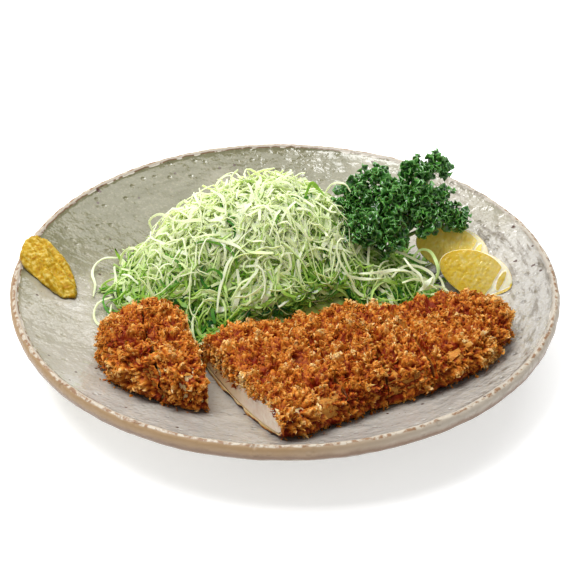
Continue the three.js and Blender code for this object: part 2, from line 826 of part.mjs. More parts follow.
// A frilled leaflet: a thin wavy disc, both faces split alike, edge toward the outside.
function leafletSolid(centre, outward, phase) {
  const sides = 8;
  const side = new THREE.Vector3(outward.y, -outward.x, 0.3).normalize();
  const up = new THREE.Vector3().crossVectors(outward, side).normalize();
  const face = (height) => (scale) =>
    Array.from({ length: sides }, (_, k) => {
      const angle = (2 * Math.PI * k) / sides;
      const frill = 1 + 0.16 * Math.cos(4 * angle + phase);
      const reach = PARSLEY.leafletRadius * scale * frill;
      const point = centre.clone();
      point.addScaledVector(outward, reach * Math.cos(angle));
      point.addScaledVector(side, reach * Math.sin(angle));
      const ruffle = 1.7 * scale * Math.sin(3 * angle + phase);
      point.addScaledVector(up, ruffle + height);
      return point.toArray();
    });
  const thickness = 1.2;
  const upper = face(thickness / 2);
  const lower = face(-thickness / 2);
  const pole = (height) => [centre.clone().addScaledVector(up, height).toArray()];
  return solidThrough([pole(-thickness / 2), lower(1), upper(1), pole(thickness / 2)]);
}

function stemSolid(head) {
  const root = new THREE.Vector3(...PARSLEY_ROOT);
  const tip = new THREE.Vector3(head[0], head[1], head[2]);
  const bow = root.clone().lerp(tip, 0.5).add(new THREE.Vector3(0, -1.5, 2));
  const curve = new THREE.QuadraticBezierCurve3(root, bow, tip);
  const sides = 5;
  const rings = curve.getPoints(2).map((point) =>
    Array.from({ length: sides }, (_, k) => {
      const angle = (2 * Math.PI * k) / sides;
      const reach = PARSLEY.stemRadius;
      return [point.x + reach * Math.cos(angle), point.y + reach * Math.sin(angle), point.z];
    }),
  );
  return solidThrough(rings);
}

function parsleySolid(obstacles) {
  const random = randomFrom(7);
  const parts = PARSLEY_HEADS.map(parsleyHead);
  for (let k = 0; k < PARSLEY.leaflets; k++) {
    const [x, y, z, size] = PARSLEY_HEADS[k % PARSLEY_HEADS.length];
    const angle = Math.PI * (-0.9 + 1.8 * random());
    const outward = new THREE.Vector3(Math.sin(angle), -Math.cos(angle), 0.7 * random());
    outward.normalize();
    const centre = new THREE.Vector3(x, y, z);
    centre.addScaledVector(outward, PARSLEY.lumpRadius * size * 0.75);
    parts.push(leafletSolid(centre, outward, 6 * random()));
  }
  for (const index of [4, 6, 8]) parts.push(stemSolid(PARSLEY_HEADS[index]));
  let bunch = wasm.Manifold.union(parts);
  for (const solid of obstacles) bunch = bunch.subtract(solid);
  return largestPiece(bunch);
}

// ---------------------------------------------------------------- the whole plate

const glaze = new THREE.MeshStandardMaterial({ color: 0xc9c3b4, roughness: 0.3, metalness: 0 });
const crumb = food(0xc4792f, 0.8);
const pork = food(0xf0e2cf, 0.6);
const leaf = food(0xc9dd9a, 0.55);
const herb = food(0x2c6428, 0.6);
const citrus = food(0xe3bd3a, 0.4);
const paste = food(0xd9b02c, 0.5);

const plate = plateSolid();
const plateClearance = plate.translate([0, 0, 0.4]);
const cutlets = SLICES.map(sliceParts);
const cutletSpace = cutlets.map(({ space }) => space);

const lemons = LEMONS.map((lemon) => {
  let solid = lemonSolid(lemon, 0).subtract(plateClearance);
  for (const space of cutletSpace) solid = solid.subtract(space);
  return { name: lemon.name, solid, space: lemonSolid(lemon, 0.4) };
});
lemons[1].solid = lemons[1].solid.subtract(lemons[0].space);
const lemonSpace = lemons.map(({ space }) => space);

let core = cabbageCore(0);
for (const space of [...cutletSpace, ...lemonSpace]) core = core.subtract(space);
core = largestPiece(core);

const bunch = parsleySolid([cabbageCore(0.5), plateClearance, ...lemonSpace]);
const coatings = cutlets.map(({ coating }) => coating);
const heap = cabbageSolid(core, [plate, ...coatings, ...lemonSpace, bunch]);

const dinner = new THREE.Group();
dinner.name = 'tonkatsu_plate';
dinner.add(meshFrom('plate', plate, glaze));
cutlets.forEach(({ name, coating, meat }) => {
  dinner.add(meshFrom(`coating_${name}`, coating, crumb));
  dinner.add(meshFrom(`pork_${name}`, meat, pork));
});
dinner.add(meshFrom('cabbage', heap, leaf));
dinner.add(meshFrom('parsley', bunch, herb));
lemons.forEach(({ name, solid }) => dinner.add(meshFrom(name, largestPiece(solid), citrus)));
dinner.add(meshFrom('mustard', mustardSolid(), paste));

export default dinner;
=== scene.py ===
"""Looks of a pork cutlet dinner plate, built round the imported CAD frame."""

import math

import bmesh
import bpy
import numpy as np
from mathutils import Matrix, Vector


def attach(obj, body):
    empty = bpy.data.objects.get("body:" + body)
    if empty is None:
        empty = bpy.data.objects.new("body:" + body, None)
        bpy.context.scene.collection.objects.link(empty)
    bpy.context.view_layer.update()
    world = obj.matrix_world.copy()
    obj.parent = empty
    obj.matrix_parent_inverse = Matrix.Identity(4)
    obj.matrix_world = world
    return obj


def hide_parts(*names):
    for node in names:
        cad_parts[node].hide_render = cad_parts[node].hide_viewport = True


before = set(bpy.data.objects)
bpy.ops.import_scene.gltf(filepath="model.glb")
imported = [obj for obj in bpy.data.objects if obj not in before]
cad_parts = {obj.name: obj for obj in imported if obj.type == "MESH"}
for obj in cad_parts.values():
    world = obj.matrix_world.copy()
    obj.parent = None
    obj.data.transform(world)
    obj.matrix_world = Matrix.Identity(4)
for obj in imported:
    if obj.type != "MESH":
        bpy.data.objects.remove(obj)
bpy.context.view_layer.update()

# -------- driving sizes, in millimetres

MM = 0.001  # metres in a millimetre
REST = 0.45  # height of the food above the ideal plate surface

# Plate
PLATE_RADIUS = 125.0
FLOOR_HEIGHT = 12.0
FLOOR_RADIUS = 50.0
WALL_RADIUS = 123.0
WALL_RISE = 21.5
WALL_POWER = 1.75
WALL_THICKNESS = 6.8
LIP_HEIGHT = 34.0
FOOT_OUTER = 46.0
FOOT_INNER = 40.0
FOOT_RECESS = 4.4
PLATE_SIDES = 320

# Cutlet: its turn on the plate, how it leans on the wall, and its crust and meat
CUTLET_TURN = math.radians(27)
BACK_HEIGHT = 12.6
LEAN = 0.12
EDGE_THICKNESS = 3.0
TAPER = 20.0
ROUNDNESS = 2.4
OVER_CRUST = 5.5
SIDE_CRUST = 3.4
UNDER_CRUST = 2.4
MEAT_TAPER = 8.0
CRAG_HEIGHT = 1.4
CRAG_SIZE = 6.0
MAIN_THICKNESS = 19.5
END_THICKNESS = 23.0
GAP = 0.3

# Cabbage: plan centre, the two mounds that make the heap, and its reach each way
HEAP_CENTRE = (-7.0, 14.0)
HEAP_PEAK = dict(at=(-6, 19), height=53, left=58, right=43, depth=37)
HEAP_SHOULDER = dict(at=(54, 10), height=13, left=22, right=24, depth=22)
HEAP_REACH = dict(left=73, right=76, back=44, front=50)
HEAP_TOP = 72.0
HIGHEST_STRAND = 74.0
STRAND_LIMIT = 112  # distance from the plate's middle that no scattered strand goes beyond
LOW_SHADE_TINT = 0.8  # how much greener and darker the heap is painted at the plate than at its top: painted shade low in the heap

# Lemon: middle of each cut face, the way it runs lengthwise and the way it looks
LEMON_HALF_LENGTH = 17.6
LEMON_HALF_WIDTH = 10.8
LEMON_DEPTH = 13.0
LEMON_FULLNESS = 0.12
LEMON_FRONT = dict(at=(88.5, 8, 28.5), long=(0.9, -0.16, -0.34), face=(-0.1, -0.78, 0.62))
LEMON_BACK = dict(at=(79, 26, 31), long=(0.92, -0.1, -0.32), face=(-0.14, -0.72, 0.68))

# Parsley: radius of a head of size 1, then each head's middle and size
PARSLEY_LUMP = 9.5
PARSLEY_HEADS = [
    (33, 28, 56, 1.15), (42, 37, 60, 1.0), (50, 27, 55, 1.2), (34, 12, 51, 1.05),
    (48, 14, 45, 1.05), (61, 32, 55, 1.1), (72, 34, 51, 0.95), (80, 32, 44, 0.85),
    (61, 42.5, 62, 0.85), (71, 45.5, 65, 0.75), (64, 24, 48, 0.9),
]
PARSLEY_ROOT = (54, 26, 36)

# Mustard
MUSTARD_HEIGHT = 5.0
MUSTARD_RIDGE = 0.9
MUSTARD_OUTLINE = [
    (-122, 22), (-118.8, 28.8), (-113.8, 30), (-105.7, 24.2), (-100, 15), (-97, 4),
    (-96.6, -4), (-101.6, -6.8), (-109.8, -2), (-117, 2.6), (-122.2, 8),
]


# -------- noise

def lattice(i, j, k):
    """A repeatable number from -1 to 1 for each corner of a grid."""
    wave = np.sin(i * 127.1 + j * 311.7 + k * 74.7) * 43758.5453
    return 2 * (wave - np.floor(wave)) - 1


def noise(x, y, z):
    """Smooth value noise between -1 and 1, the same as in the solids."""
    x, y, z = np.broadcast_arrays(x, y, z)
    i, j, k = np.floor(x), np.floor(y), np.floor(z)
    fx, fy, fz = [t * t * (3 - 2 * t) for t in (x - i, y - j, z - k)]

    def row(b, c):
        return lattice(i, b, c) * (1 - fx) + lattice(i + 1, b, c) * fx

    def face(c):
        return row(j, c) * (1 - fy) + row(j + 1, c) * fy

    return face(k) * (1 - fz) + face(k + 1) * fz


def fractal(points, size, octaves=3):
    """Noise of several sizes at points of shape (..., 3), the largest feature first."""
    total, weight = 0.0, 1.0
    for octave in range(octaves):
        scaled = points * (2 ** octave / size) + 11.3 * octave
        total = total + weight * noise(scaled[..., 0], scaled[..., 1], scaled[..., 2])
        weight *= 0.5
    return total


def cell_random(i, j, k, salt):
    """A repeatable number from 0 to 1 for each cell of a grid."""
    mixed = (i * 374761393 + j * 668265263 + k * 1442695041 + salt * 974634777) & 0xFFFFFFFF
    mixed = ((mixed ^ (mixed >> 13)) * 1274126177) & 0xFFFFFFFF
    return ((mixed ^ (mixed >> 16)) & 0xFFFFFF) / 0x1000000


def crumb_relief(points, size, salt):
    """Height from 0 to 1 of crumbs crowded over points of shape (n, 3), and a number for each."""
    scaled = points / size
    cell = np.floor(scaled).astype(np.int64)
    best = np.full(len(points), -9.0)
    owner = np.zeros(len(points))
    for step in np.ndindex(3, 3, 3):
        i, j, k = (cell + np.array(step) - 1).T
        draws = [cell_random(i, j, k, 10 * salt + n) for n in range(7)]
        away = scaled - np.stack([i + draws[0], j + draws[1], k + draws[2]], 1)
        axis = np.stack([draws[3], draws[4], draws[5]], 1) * 2 - 1
        lengthwise = (away * axis).sum(1)
        height = 0.55 + 0.45 * draws[6] - 1.5 * (away ** 2).sum(1) + 0.6 * lengthwise ** 2
        height += 0.3 * away[:, 0] * (draws[3] - 0.5) + 0.3 * away[:, 1] * (draws[4] - 0.5)
        higher = height > best
        best = np.where(higher, height, best)
        owner = np.where(higher, draws[5], owner)
    return clip(best), owner


# -------- meshes

def unit(vectors):
    """The vectors with a length of 1."""
    length = np.linalg.norm(vectors, axis=-1, keepdims=True)
    return vectors / np.maximum(length, 1e-9)


def clip(values, low=0, high=1):
    return np.clip(values, low, high)


def plan(points):
    """The x and the y of points of shape (..., 3)."""
    return points[..., 0], points[..., 1]


def full_turn(count):
    """Evenly spaced angles of a full turn."""
    return 2 * np.pi * np.arange(count) / count


def repeated(quads, count, points_each):
    """The faces of one part for each of a number of parts with as many points each."""
    every = quads + (np.arange(count) * points_each)[:, None, None]
    return every.reshape(-1, quads.shape[-1])


def with_poles(rows):
    """Rings of points with the first and the last drawn together to one point."""
    rows = np.array(rows)
    rows[0], rows[-1] = rows[0].mean(0), rows[-1].mean(0)
    return rows


def grid_quads(rows, columns, wrap_rows=False, wrap_columns=True):
    """Quads over a grid of rows and columns of points."""
    row_count = rows if wrap_rows else rows - 1
    column_count = columns if wrap_columns else columns - 1
    i, j = np.meshgrid(np.arange(row_count), np.arange(column_count), indexing="ij")
    after_i, after_j = (i + 1) % rows, (j + 1) % columns
    corners = [i * columns + j, i * columns + after_j, after_i * columns + after_j,
               after_i * columns + j]
    return np.stack(corners, -1).reshape(-1, 4)


class Pile:
    """Points, faces and per-point values of one piece, gathered part by part."""

    def __init__(self):
        self.points, self.faces, self.values, self.count = [], [], [], 0
        self.smooth = []

    def add(self, points, faces, smooth=True, **values):
        points = np.asarray(points, float).reshape(-1, 3)
        self.points.append(points)
        self.faces += (np.asarray(faces) + self.count).tolist()
        self.smooth += [smooth] * len(faces)
        self.values.append({key: np.broadcast_to(np.ravel(value), len(points))
                            for key, value in values.items()})
        self.count += len(points)

    def build(self, name, material, replaced, weld=False, sharp_angle=None):
        """Makes the piece: a mesh that rides on the root and replaces CAD nodes."""
        mesh = bpy.data.meshes.new(name)
        mesh.from_pydata((np.vstack(self.points) * MM).tolist(), [], self.faces)
        for key in self.values[0]:
            layer = mesh.attributes.new(key, "FLOAT", "POINT")
            layer.data.foreach_set("value", np.concatenate([v[key] for v in self.values]))
        mesh.polygons.foreach_set("use_smooth", self.smooth)
        if weld:
            weld_mesh(mesh)
        if sharp_angle:
            mesh.set_sharp_from_angle(angle=math.radians(sharp_angle))
        mesh.materials.append(material)
        piece = bpy.data.objects.new(name, mesh)
        bpy.context.scene.collection.objects.link(piece)
        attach(piece, "root")
        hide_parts(*replaced)


def weld_mesh(mesh):
    """Joins points that lie on each other, such as those of a pole or a seam."""
    work = bmesh.new()
    work.from_mesh(mesh)
    bmesh.ops.remove_doubles(work, verts=work.verts, dist=2e-6)
    bmesh.ops.dissolve_degenerate(work, edges=work.edges, dist=1e-7)
    bmesh.ops.recalc_face_normals(work, faces=work.faces)
    work.to_mesh(mesh)
    work.free()


def ribbons(centres, sides, ups, widths, thicknesses):
    """Closed strips through centres of shape (n, steps, 3): points and quads."""
    half_side = sides * (widths / 2)[..., None]
    half_up = ups * (thicknesses / 2)[..., None]
    corners = np.stack([centres - half_side - half_up, centres + half_side - half_up,
                        centres + half_side + half_up, centres - half_side + half_up], 2)
    count, steps = centres.shape[:2]
    one = grid_quads(steps, 4)
    caps = np.array([[3, 2, 1, 0], np.arange(4) + 4 * (steps - 1)])
    return corners.reshape(-1, 3), repeated(np.vstack([one, caps]), count, steps * 4)


# -------- materials

class Level:
    """Output of a node. What is added to it, taken off or multiplied makes a Math node."""

    def __init__(self, finish, socket):
        self.finish, self.socket = finish, socket

    def __add__(self, other):
        return self.finish.math("ADD", self, other)

    def __sub__(self, other):
        return self.finish.math("SUBTRACT", self, other)

    def __mul__(self, other):
        return self.finish.math("MULTIPLY", self, other)

    def __truediv__(self, other):
        return self.finish.math("DIVIDE", self, other)

    def ramp(self, *stops):
        """A colour, or a grey level, that changes with this; stops are (position, colour)."""
        made = self.finish.node("ShaderNodeValToRGB")
        self.finish.feed(made.inputs["Fac"], self)
        elements = made.color_ramp.elements
        while len(elements) < len(stops):
            elements.new(0.5)
        for element, (position, colour) in zip(elements, stops):
            element.position = position
            level = colour if isinstance(colour, tuple) else (colour,) * 3
            element.color = (*level, 1.0)
        return Level(self.finish, made.outputs["Color"])


class Finish:
    """A material with one Principled surface and short calls for the nodes that feed it."""

    def __init__(self, name, **sockets):
        self.material = bpy.data.materials.new(name)
        self.material.use_nodes = True
        self.tree = self.material.node_tree
        self.surface = self.tree.nodes["Principled BSDF"]
        for socket, value in sockets.items():
            self.surface.inputs[socket.replace("_", " ")].default_value = value

    def node(self, kind, **settings):
        made = self.tree.nodes.new(kind)
        for key, value in settings.items():
            setattr(made, key, value)
        return made

    def feed(self, socket, value):
        if isinstance(value, Level):
            self.tree.links.new(value.socket, socket)
        elif isinstance(value, (tuple, list)) and len(socket.default_value) == 4:
            socket.default_value = (*value, 1.0)
        else:
            socket.default_value = value

    def place(self):
        return Level(self, self.node("ShaderNodeTexCoord").outputs["Object"])

    def axes(self):
        """The three coordinates of a point of the piece, in metres."""
        split = self.node("ShaderNodeSeparateXYZ")
        self.feed(split.inputs[0], self.place())
        return [Level(self, socket) for socket in split.outputs]

    def together(self, *values):
        """A vector of three values."""
        made = self.node("ShaderNodeCombineXYZ")
        for socket, value in zip(made.inputs, values):
            self.feed(socket, value)
        return Level(self, made.outputs[0])

    def value(self, name):
        """What a piece's points say under a name."""
        return Level(self, self.node("ShaderNodeAttribute", attribute_name=name).outputs["Fac"])

    def texture(self, kind, size, where=None):
        """A texture node with features of a size in millimetres."""
        made = self.node(kind)
        self.feed(made.inputs["Vector"], where or self.place())
        self.feed(made.inputs["Scale"], 1 / (size * MM))
        return made

    def noise(self, size, detail=3.0, where=None, roughness=0.5):
        """Noise from 0 to 1."""
        made = self.texture("ShaderNodeTexNoise", size, where)
        self.feed(made.inputs["Detail"], detail)
        self.feed(made.inputs["Roughness"], roughness)
        return Level(self, made.outputs["Fac"])

    def cells(self, size, output="Distance"):
        return Level(self, self.texture("ShaderNodeTexVoronoi", size).outputs[output])

    def mix(self, factor, first, second, blend="MIX"):
        made = self.node("ShaderNodeMix", data_type="RGBA", blend_type=blend)
        self.feed(made.inputs["Factor"], factor)
        self.feed(made.inputs[6], first)
        self.feed(made.inputs[7], second)
        return Level(self, made.outputs[2])

    def math(self, operation, first, second=0.0):
        made = self.node("ShaderNodeMath", operation=operation)
        self.feed(made.inputs[0], first)
        self.feed(made.inputs[1], second)
        return Level(self, made.outputs[0])

    def bump(self, height, depth, strength=1.0):
        """Relief of a depth in millimetres."""
        made = self.node("ShaderNodeBump")
        self.feed(made.inputs["Strength"], strength)
        self.feed(made.inputs["Distance"], depth * MM)
        self.feed(made.inputs["Height"], height)
        for socket in ("Normal", "Coat Normal"):
            self.feed(self.surface.inputs[socket], Level(self, made.outputs["Normal"]))

    def colour(self, value):
        self.feed(self.surface.inputs["Base Color"], value)

    def translucent(self, colour, share):
        """Lets a share of the light through, as thin leaves do."""
        through = self.node("ShaderNodeBsdfTranslucent")
        self.feed(through.inputs["Color"], colour)
        both = self.node("ShaderNodeMixShader")
        self.feed(both.inputs[0], share)
        output = self.tree.nodes["Material Output"].inputs["Surface"]
        for start, end in ((self.surface.outputs[0], both.inputs[1]),
                           (through.outputs[0], both.inputs[2]), (both.outputs[0], output)):
            self.tree.links.new(start, end)

    def roughness(self, value):
        self.feed(self.surface.inputs["Roughness"], value)


# -------- plate

def wall_height(radius):
    """Height of the glaze before the rim wobbles."""
    climb = np.maximum(0, (radius - FLOOR_RADIUS) / (WALL_RADIUS - FLOOR_RADIUS))
    return FLOOR_HEIGHT + WALL_RISE * climb ** WALL_POWER


def rim_wobble(x, y):
    """How far the hand-made rim is lifted or lowered."""
    fade = np.maximum(0, (np.hypot(x, y) - FOOT_OUTER) / (PLATE_RADIUS - FOOT_OUTER))
    angle = np.arctan2(y, x)
    lift = np.cos(angle - math.radians(130))
    twist = np.cos(2 * (angle - math.radians(125)))
    return fade ** 1.5 * (1.0 * lift + 0.5 * twist)


def plate_top(x, y):
    return wall_height(np.hypot(x, y)) + rim_wobble(x, y)


def smooth_line(corners, per_span):
    """Points on a smooth open curve through corners, with a number of steps to each span."""
    p = np.asarray(corners, float)
    padded = np.vstack([2 * p[0] - p[1], p, 2 * p[-1] - p[-2]])
    pieces = []
    for k in range(len(p) - 1):
        a, b, c, d = padded[k:k + 4]
        t = np.arange(per_span)[:, None] / per_span
        pieces.append(0.5 * (2 * b + (c - a) * t + (2 * a - 5 * b + 4 * c - d) * t ** 2
                             + (3 * b - a - 3 * c + d) * t ** 3))
    return np.vstack([*pieces, p[-1:]])


def plate_profile():
    """(radius, height) from the middle of the plate over the lip to the foot ring."""
    inside_radii = np.concatenate([np.arange(3, 60, 3.0), np.arange(60, 121, 1.25)])
    inside = np.stack([inside_radii, wall_height(inside_radii)], 1)
    lip = smooth_line([
        (120.6, float(wall_height(120.6)) + 0.1), (122.0, 33.75), (PLATE_RADIUS - 1.9, LIP_HEIGHT),
        (PLATE_RADIUS - 0.5, 33.0), (PLATE_RADIUS, LIP_HEIGHT - 2.8),
        (PLATE_RADIUS - 0.3, 29.2), (PLATE_RADIUS - 1.0, 27.3), (122.0, 25.3),
    ], 3)
    outside_radii = np.arange(119, 50, -3.0)
    outside = np.stack([outside_radii, wall_height(outside_radii) - WALL_THICKNESS], 1)
    foot = np.array([
        (FOOT_OUTER + 1.4, FOOT_RECESS + 0.8), (FOOT_OUTER + 0.3, 3.2), (FOOT_OUTER, 0.7),
        (FOOT_OUTER - 0.7, 0.0), (FOOT_INNER + 0.7, 0.0), (FOOT_INNER, 0.7),
        (FOOT_INNER - 0.3, 3.6), (FOOT_INNER - 1.6, FOOT_RECESS), (20, FOOT_RECESS),
    ])
    return np.vstack([inside, lip, outside, foot]), len(inside)


def glaze_relief(points, radius):
    """Uneven thickness of the brushed glaze: dimples on the walls, calm on the floor."""
    wall = clip((radius - 58) / 30)
    shiny = wall * (0.7 + 0.3 * clip((points[..., 0] - 20) / 60))
    dimples = fractal(points, 4.6, 2)
    pits = clip(noise(points[..., 0] / 3.1 + 50, points[..., 1] / 3.1, points[..., 2] / 3.1)
                   - 0.4)
    swell = fractal(points, 22, 1)
    fine = fractal(points, 2.6, 1)
    return (0.03 + 0.2 * shiny) * dimples + 0.07 * shiny * fine - 0.5 * shiny * pits + 0.12 * swell


# Iron marks burnt into the glaze near the rim: plan position and radius.
IRON_MARKS = [
    (-99, 76, 2.6), (-96.5, 78, 2.0), (-93.5, 76, 1.6), (-121, 31, 2.0), (-116.5, 26, 1.5),
    (16, 122, 1.2), (38, 117.5, 1.3), (45.5, 110, 0.9), (111, 45, 1.7), (109, 21, 1.5),
    (116, 14, 1.2), (-40, -114, 1.0), (4, -121.5, 0.8), (82, -92, 1.1),
]


def iron(x, y):
    """Strength of the iron marks, from 0 to 1."""
    strength = np.zeros_like(x)
    for at_x, at_y, size in IRON_MARKS:
        away = np.hypot(x - at_x, y - at_y) / size
        strength = np.maximum(strength, clip(1.5 - away))
    return strength


MARKED_ROWS = 9  # rows past the crest of the lip that an iron mark still reaches
OFF_THE_RIM = -99.0  # distance from the crest for a point that isn't near it


def build_plate():
    profile, inside_count = plate_profile()
    angle = full_turn(PLATE_SIDES)
    radius, height = profile[:, :1], profile[:, 1:]
    x, y = radius * np.cos(angle), radius * np.sin(angle)
    z = height + rim_wobble(x, y)
    points = np.stack([x, y, z], -1)
    outward = unit(np.cross(np.gradient(points, axis=0),
                            np.roll(points, -1, 1) - np.roll(points, 1, 1)))
    if outward[5, 0, 2] < 0:
        outward = -outward
    relief = glaze_relief(points, radius)
    standing = (height < 1.5) & (radius < FOOT_OUTER + 2)
    points = points + outward * np.where(standing, 0, relief)[..., None]
    steps = np.linalg.norm(np.diff(profile, axis=0), axis=1)
    run = np.concatenate([[0], np.cumsum(steps)])
    crest = np.argmax(profile[:, 1])
    rim = np.repeat(run - run[crest], PLATE_SIDES)
    rows = len(profile)
    pile = Pile()
    marks = iron(x, y) * (np.arange(rows) < crest + MARKED_ROWS)[:, None]
    pile.add(points, grid_quads(rows, PLATE_SIDES), rim=rim, iron=marks)
    first = np.arange(PLATE_SIDES)
    after = (first + 1) % PLATE_SIDES
    last = (rows - 1) * PLATE_SIDES
    middle_top, middle_under = rows * PLATE_SIDES, rows * PLATE_SIDES + 1
    fans = [[middle_top, a, b] for a, b in zip(first, after)]
    fans += [[middle_under, last + b, last + a] for a, b in zip(first, after)]
    # The fans count from the plate's first point, and add() counts from the pile's end.
    pile.add([(0, 0, FLOOR_HEIGHT), (0, 0, FOOT_RECESS)], np.array(fans) - pile.count,
             rim=OFF_THE_RIM, iron=0.0)
    pile.build("stoneware_plate", stoneware(), ["plate"], weld=True)


def stoneware():
    finish = Finish("stoneware_glaze", Roughness=0.2, Coat_Weight=0.5, Coat_Roughness=0.05)
    x, y, _ = finish.axes()
    radius = finish.math("SQRT", x * x + y * y)
    # Brush strokes run round the plate: a point's direction and its radius, not its place.
    strokes = finish.noise(5.0, 5.0, finish.together(x / radius * 0.035, y / radius * 0.035,
                                                     radius * 1.6), 0.6)
    # Darker and greener toward the far left, whiter toward the near right.
    side = x * 2.6 + y * -4.2 + finish.noise(38.0, 3.0)
    rightward = (x * 9.0).ramp((0.5, 0.0), (0.85, 1.0))
    greige = side.ramp((0.08, (0.135, 0.126, 0.06)), (0.25, (0.26, 0.24, 0.165)),
                       (0.42, (0.36, 0.33, 0.265)), (0.58, (0.44, 0.42, 0.38)),
                       (0.8, (0.35, 0.33, 0.3)))
    pale = side.ramp((0.2, (0.22, 0.21, 0.135)), (0.5, (0.46, 0.44, 0.39)))
    brushed = finish.mix(strokes.ramp((0.38, 0.0), (0.68, 0.45)), greige, pale)
    streaks = strokes.ramp((0.37, 0.85), (0.47, 0.0)) * rightward
    brushed = finish.mix(streaks, brushed, (0.17, 0.145, 0.11))
    fine = finish.noise(1.6, 2.0)
    brushed = finish.mix(fine.ramp((0.3, 0.4), (0.48, 0.0)), brushed, (0.3, 0.26, 0.17))
    # Pinholes and iron specks: a small dark dot in some cells.
    for size, share, tone in ((3.2, 0.62, (0.2, 0.15, 0.09)), (8.0, 0.45, (0.07, 0.035, 0.025))):
        dots = finish.cells(size).ramp((0.07, 1.0), (0.12, 0.0))
        chosen = finish.cells(size, "Color").ramp((share, 0.0), (share + 0.06, 1.0))
        brushed = finish.mix(dots * chosen, brushed, tone)
    # Rim, where 0.5 is the crest and each 0.042 is a millimetre down the outside: a brown line
    # broken by pale glaze, a worn lip flecked with brown, a tan outside, a dark lower edge.
    worn = finish.noise(7.0, 5.0)
    rim = (finish.value("rim") + (worn - 0.5) * 2.6) * (1 / 24) + 0.5
    lip = rim.ramp((0.418, 0.0), (0.43, 1.0), (0.80, 1.0), (0.86, 0.0))
    finish.feed(finish.surface.inputs["Coat Weight"],
                rim.ramp((0.38, 0.5), (0.44, 0.08), (0.6, 0.05), (0.8, 0.3)))
    lip_colour = rim.ramp((0.425, (0.14, 0.065, 0.03)), (0.444, (0.19, 0.095, 0.045)),
                          (0.458, (0.42, 0.385, 0.33)), (0.5, (0.37, 0.28, 0.18)),
                          (0.53, (0.29, 0.185, 0.09)))
    flecked = finish.mix(finish.noise(2.6, 4.0).ramp((0.42, 0.0), (0.56, 1.0)),
                         (0.22, 0.115, 0.05), (0.47, 0.415, 0.33))
    broken = worn.ramp((0.53, 0.0), (0.58, 1.0)) * rim.ramp((0.44, 1.0), (0.455, 0.0))
    for share, tone in (
            ((x * 9.0).ramp((0.0, 0.0), (0.6, 0.75)), (0.4, 0.365, 0.31)),
            (rim.ramp((0.488, 0.0), (0.5, 1.0), (0.54, 1.0), (0.56, 0.0)), flecked),
            (rim.ramp((0.66, 0.0), (0.75, 1.0)), (0.15, 0.08, 0.038)),
            (broken, (0.62, 0.57, 0.5))):
        lip_colour = finish.mix(share, lip_colour, tone)
    marks = finish.value("iron") + fine * 0.5
    marks = marks * rim.ramp((0.5, 1.0), (0.53, 0.6))
    finish.colour(finish.mix(marks.ramp((0.85, 0.0), (1.0, 1.0)),
                             finish.mix(lip, brushed, lip_colour), (0.07, 0.03, 0.02)))
    gloss = finish.noise(12.0, 3.0).ramp((0.3, 0.1), (0.7, 0.26))
    finish.roughness(finish.mix(rim.ramp((0.42, 0.0), (0.46, 1.0)), gloss, (0.55, 0.55, 0.55)))
    relief = (finish.noise(2.2, 2.0) * 0.45
              + finish.cells(6.5).ramp((0.05, 0.0), (0.22, 1.0))
              + finish.noise(4.5, 2.0) * 1.3)
    finish.bump(relief * rightward.ramp((0.0, 0.35), (1.0, 1.0)), 1.1)
    return finish.material


# -------- cutlet

def on_cutlet(point):
    """Plan point of the plate for one of the cutlet, lengthwise and across."""
    u, v = point
    c, s = math.cos(CUTLET_TURN), math.sin(CUTLET_TURN)
    return (u * c - v * s, u * s + v * c)


MAIN_OUTLINE = [on_cutlet(point) for point in [
    (-66, -101), (-54, -104), (-45, -104), (-35, -101), (-22, -98.5), (-9, -95.5), (5, -95),
    (16, -97), (28, -97.5), (40, -97), (51, -95), (60.5, -90), (68.5, -83), (73.5, -74.5),
    (76.5, -65), (76, -56), (72, -47.5), (64, -40), (55, -37), (46, -35.5), (37, -32.5),
    (30, -29.5), (24, -23.5), (16, -19), (6, -20.5), (-6, -20), (-16, -16.5), (-28, -12.5),
    (-38, -13), (-47, -16), (-60, -22), (-72, -60),
]]

END_OUTLINE = [
    (-82.5, -43), (-79.5, -32), (-72, -20), (-62, -12), (-53, -10.5), (-47.5, -14), (-43, -23),
    (-33, -46), (-24, -70), (-29, -83), (-36, -87.5), (-45, -86.5), (-56, -82), (-66, -77),
    (-74.5, -69.5), (-80, -57),
]

BODIES = {"main": (MAIN_OUTLINE, MAIN_THICKNESS), "end": (END_OUTLINE, END_THICKNESS)}

# Cuts by the ends of their plan lines: the share of the height worn off at the cut, the gap
# at the plate and how much wider it stands at the top. Breadcrumbs leave open a share of the
# gap, given at the front and at the back, and none stand on its bare front part.
def cut(front, back, worn, gap=0.5, flare=0.0, open=(1, 1), bare=0.0):
    return dict(line=(front, back), worn=worn, gap=gap, flare=flare, open=open, bare=bare)


CUTS = {
    "a": cut((-48.5, -100), (-69, -5), 0.05, flare=1.0, open=(0.9, -0.7), bare=0.3),
    "endFace": cut((-28.5, -98), (-48.5, -4), 0.05, gap=0.0),
    "mainEnd": cut(on_cutlet((-53.5, -112)), on_cutlet((-51, -8)), 0.07, gap=0.0),
    "b": cut(on_cutlet((-38, -112)), on_cutlet((-27.5, -10)), 0.04, flare=0.6,
             open=(0.1, -0.5)),
    "bc": cut(on_cutlet((-21, -112)), on_cutlet((-11.5, -10)), 0.06, flare=1.0,
              open=(0.8, -0.1), bare=0.25),
    "c": cut(on_cutlet((-3, -108)), on_cutlet((23.5, -10)), 0.06, flare=1.4,
             open=(0.9, -0.2), bare=0.3),
    "cd": cut(on_cutlet((19, -112)), on_cutlet((33, -14)), 0.08, gap=0.8, flare=2.6,
              open=(1.4, 0.5), bare=0.6),
}
WEAR_REACH = 4.8  # distance from a cut over which its edge is worn down
OPEN_FACES = ("mainEnd", "endFace")  # cuts whose face shows, next to the wide gap
FRINGED = "mainEnd"  # the cut with crumbs hanging over the upper edge of its face

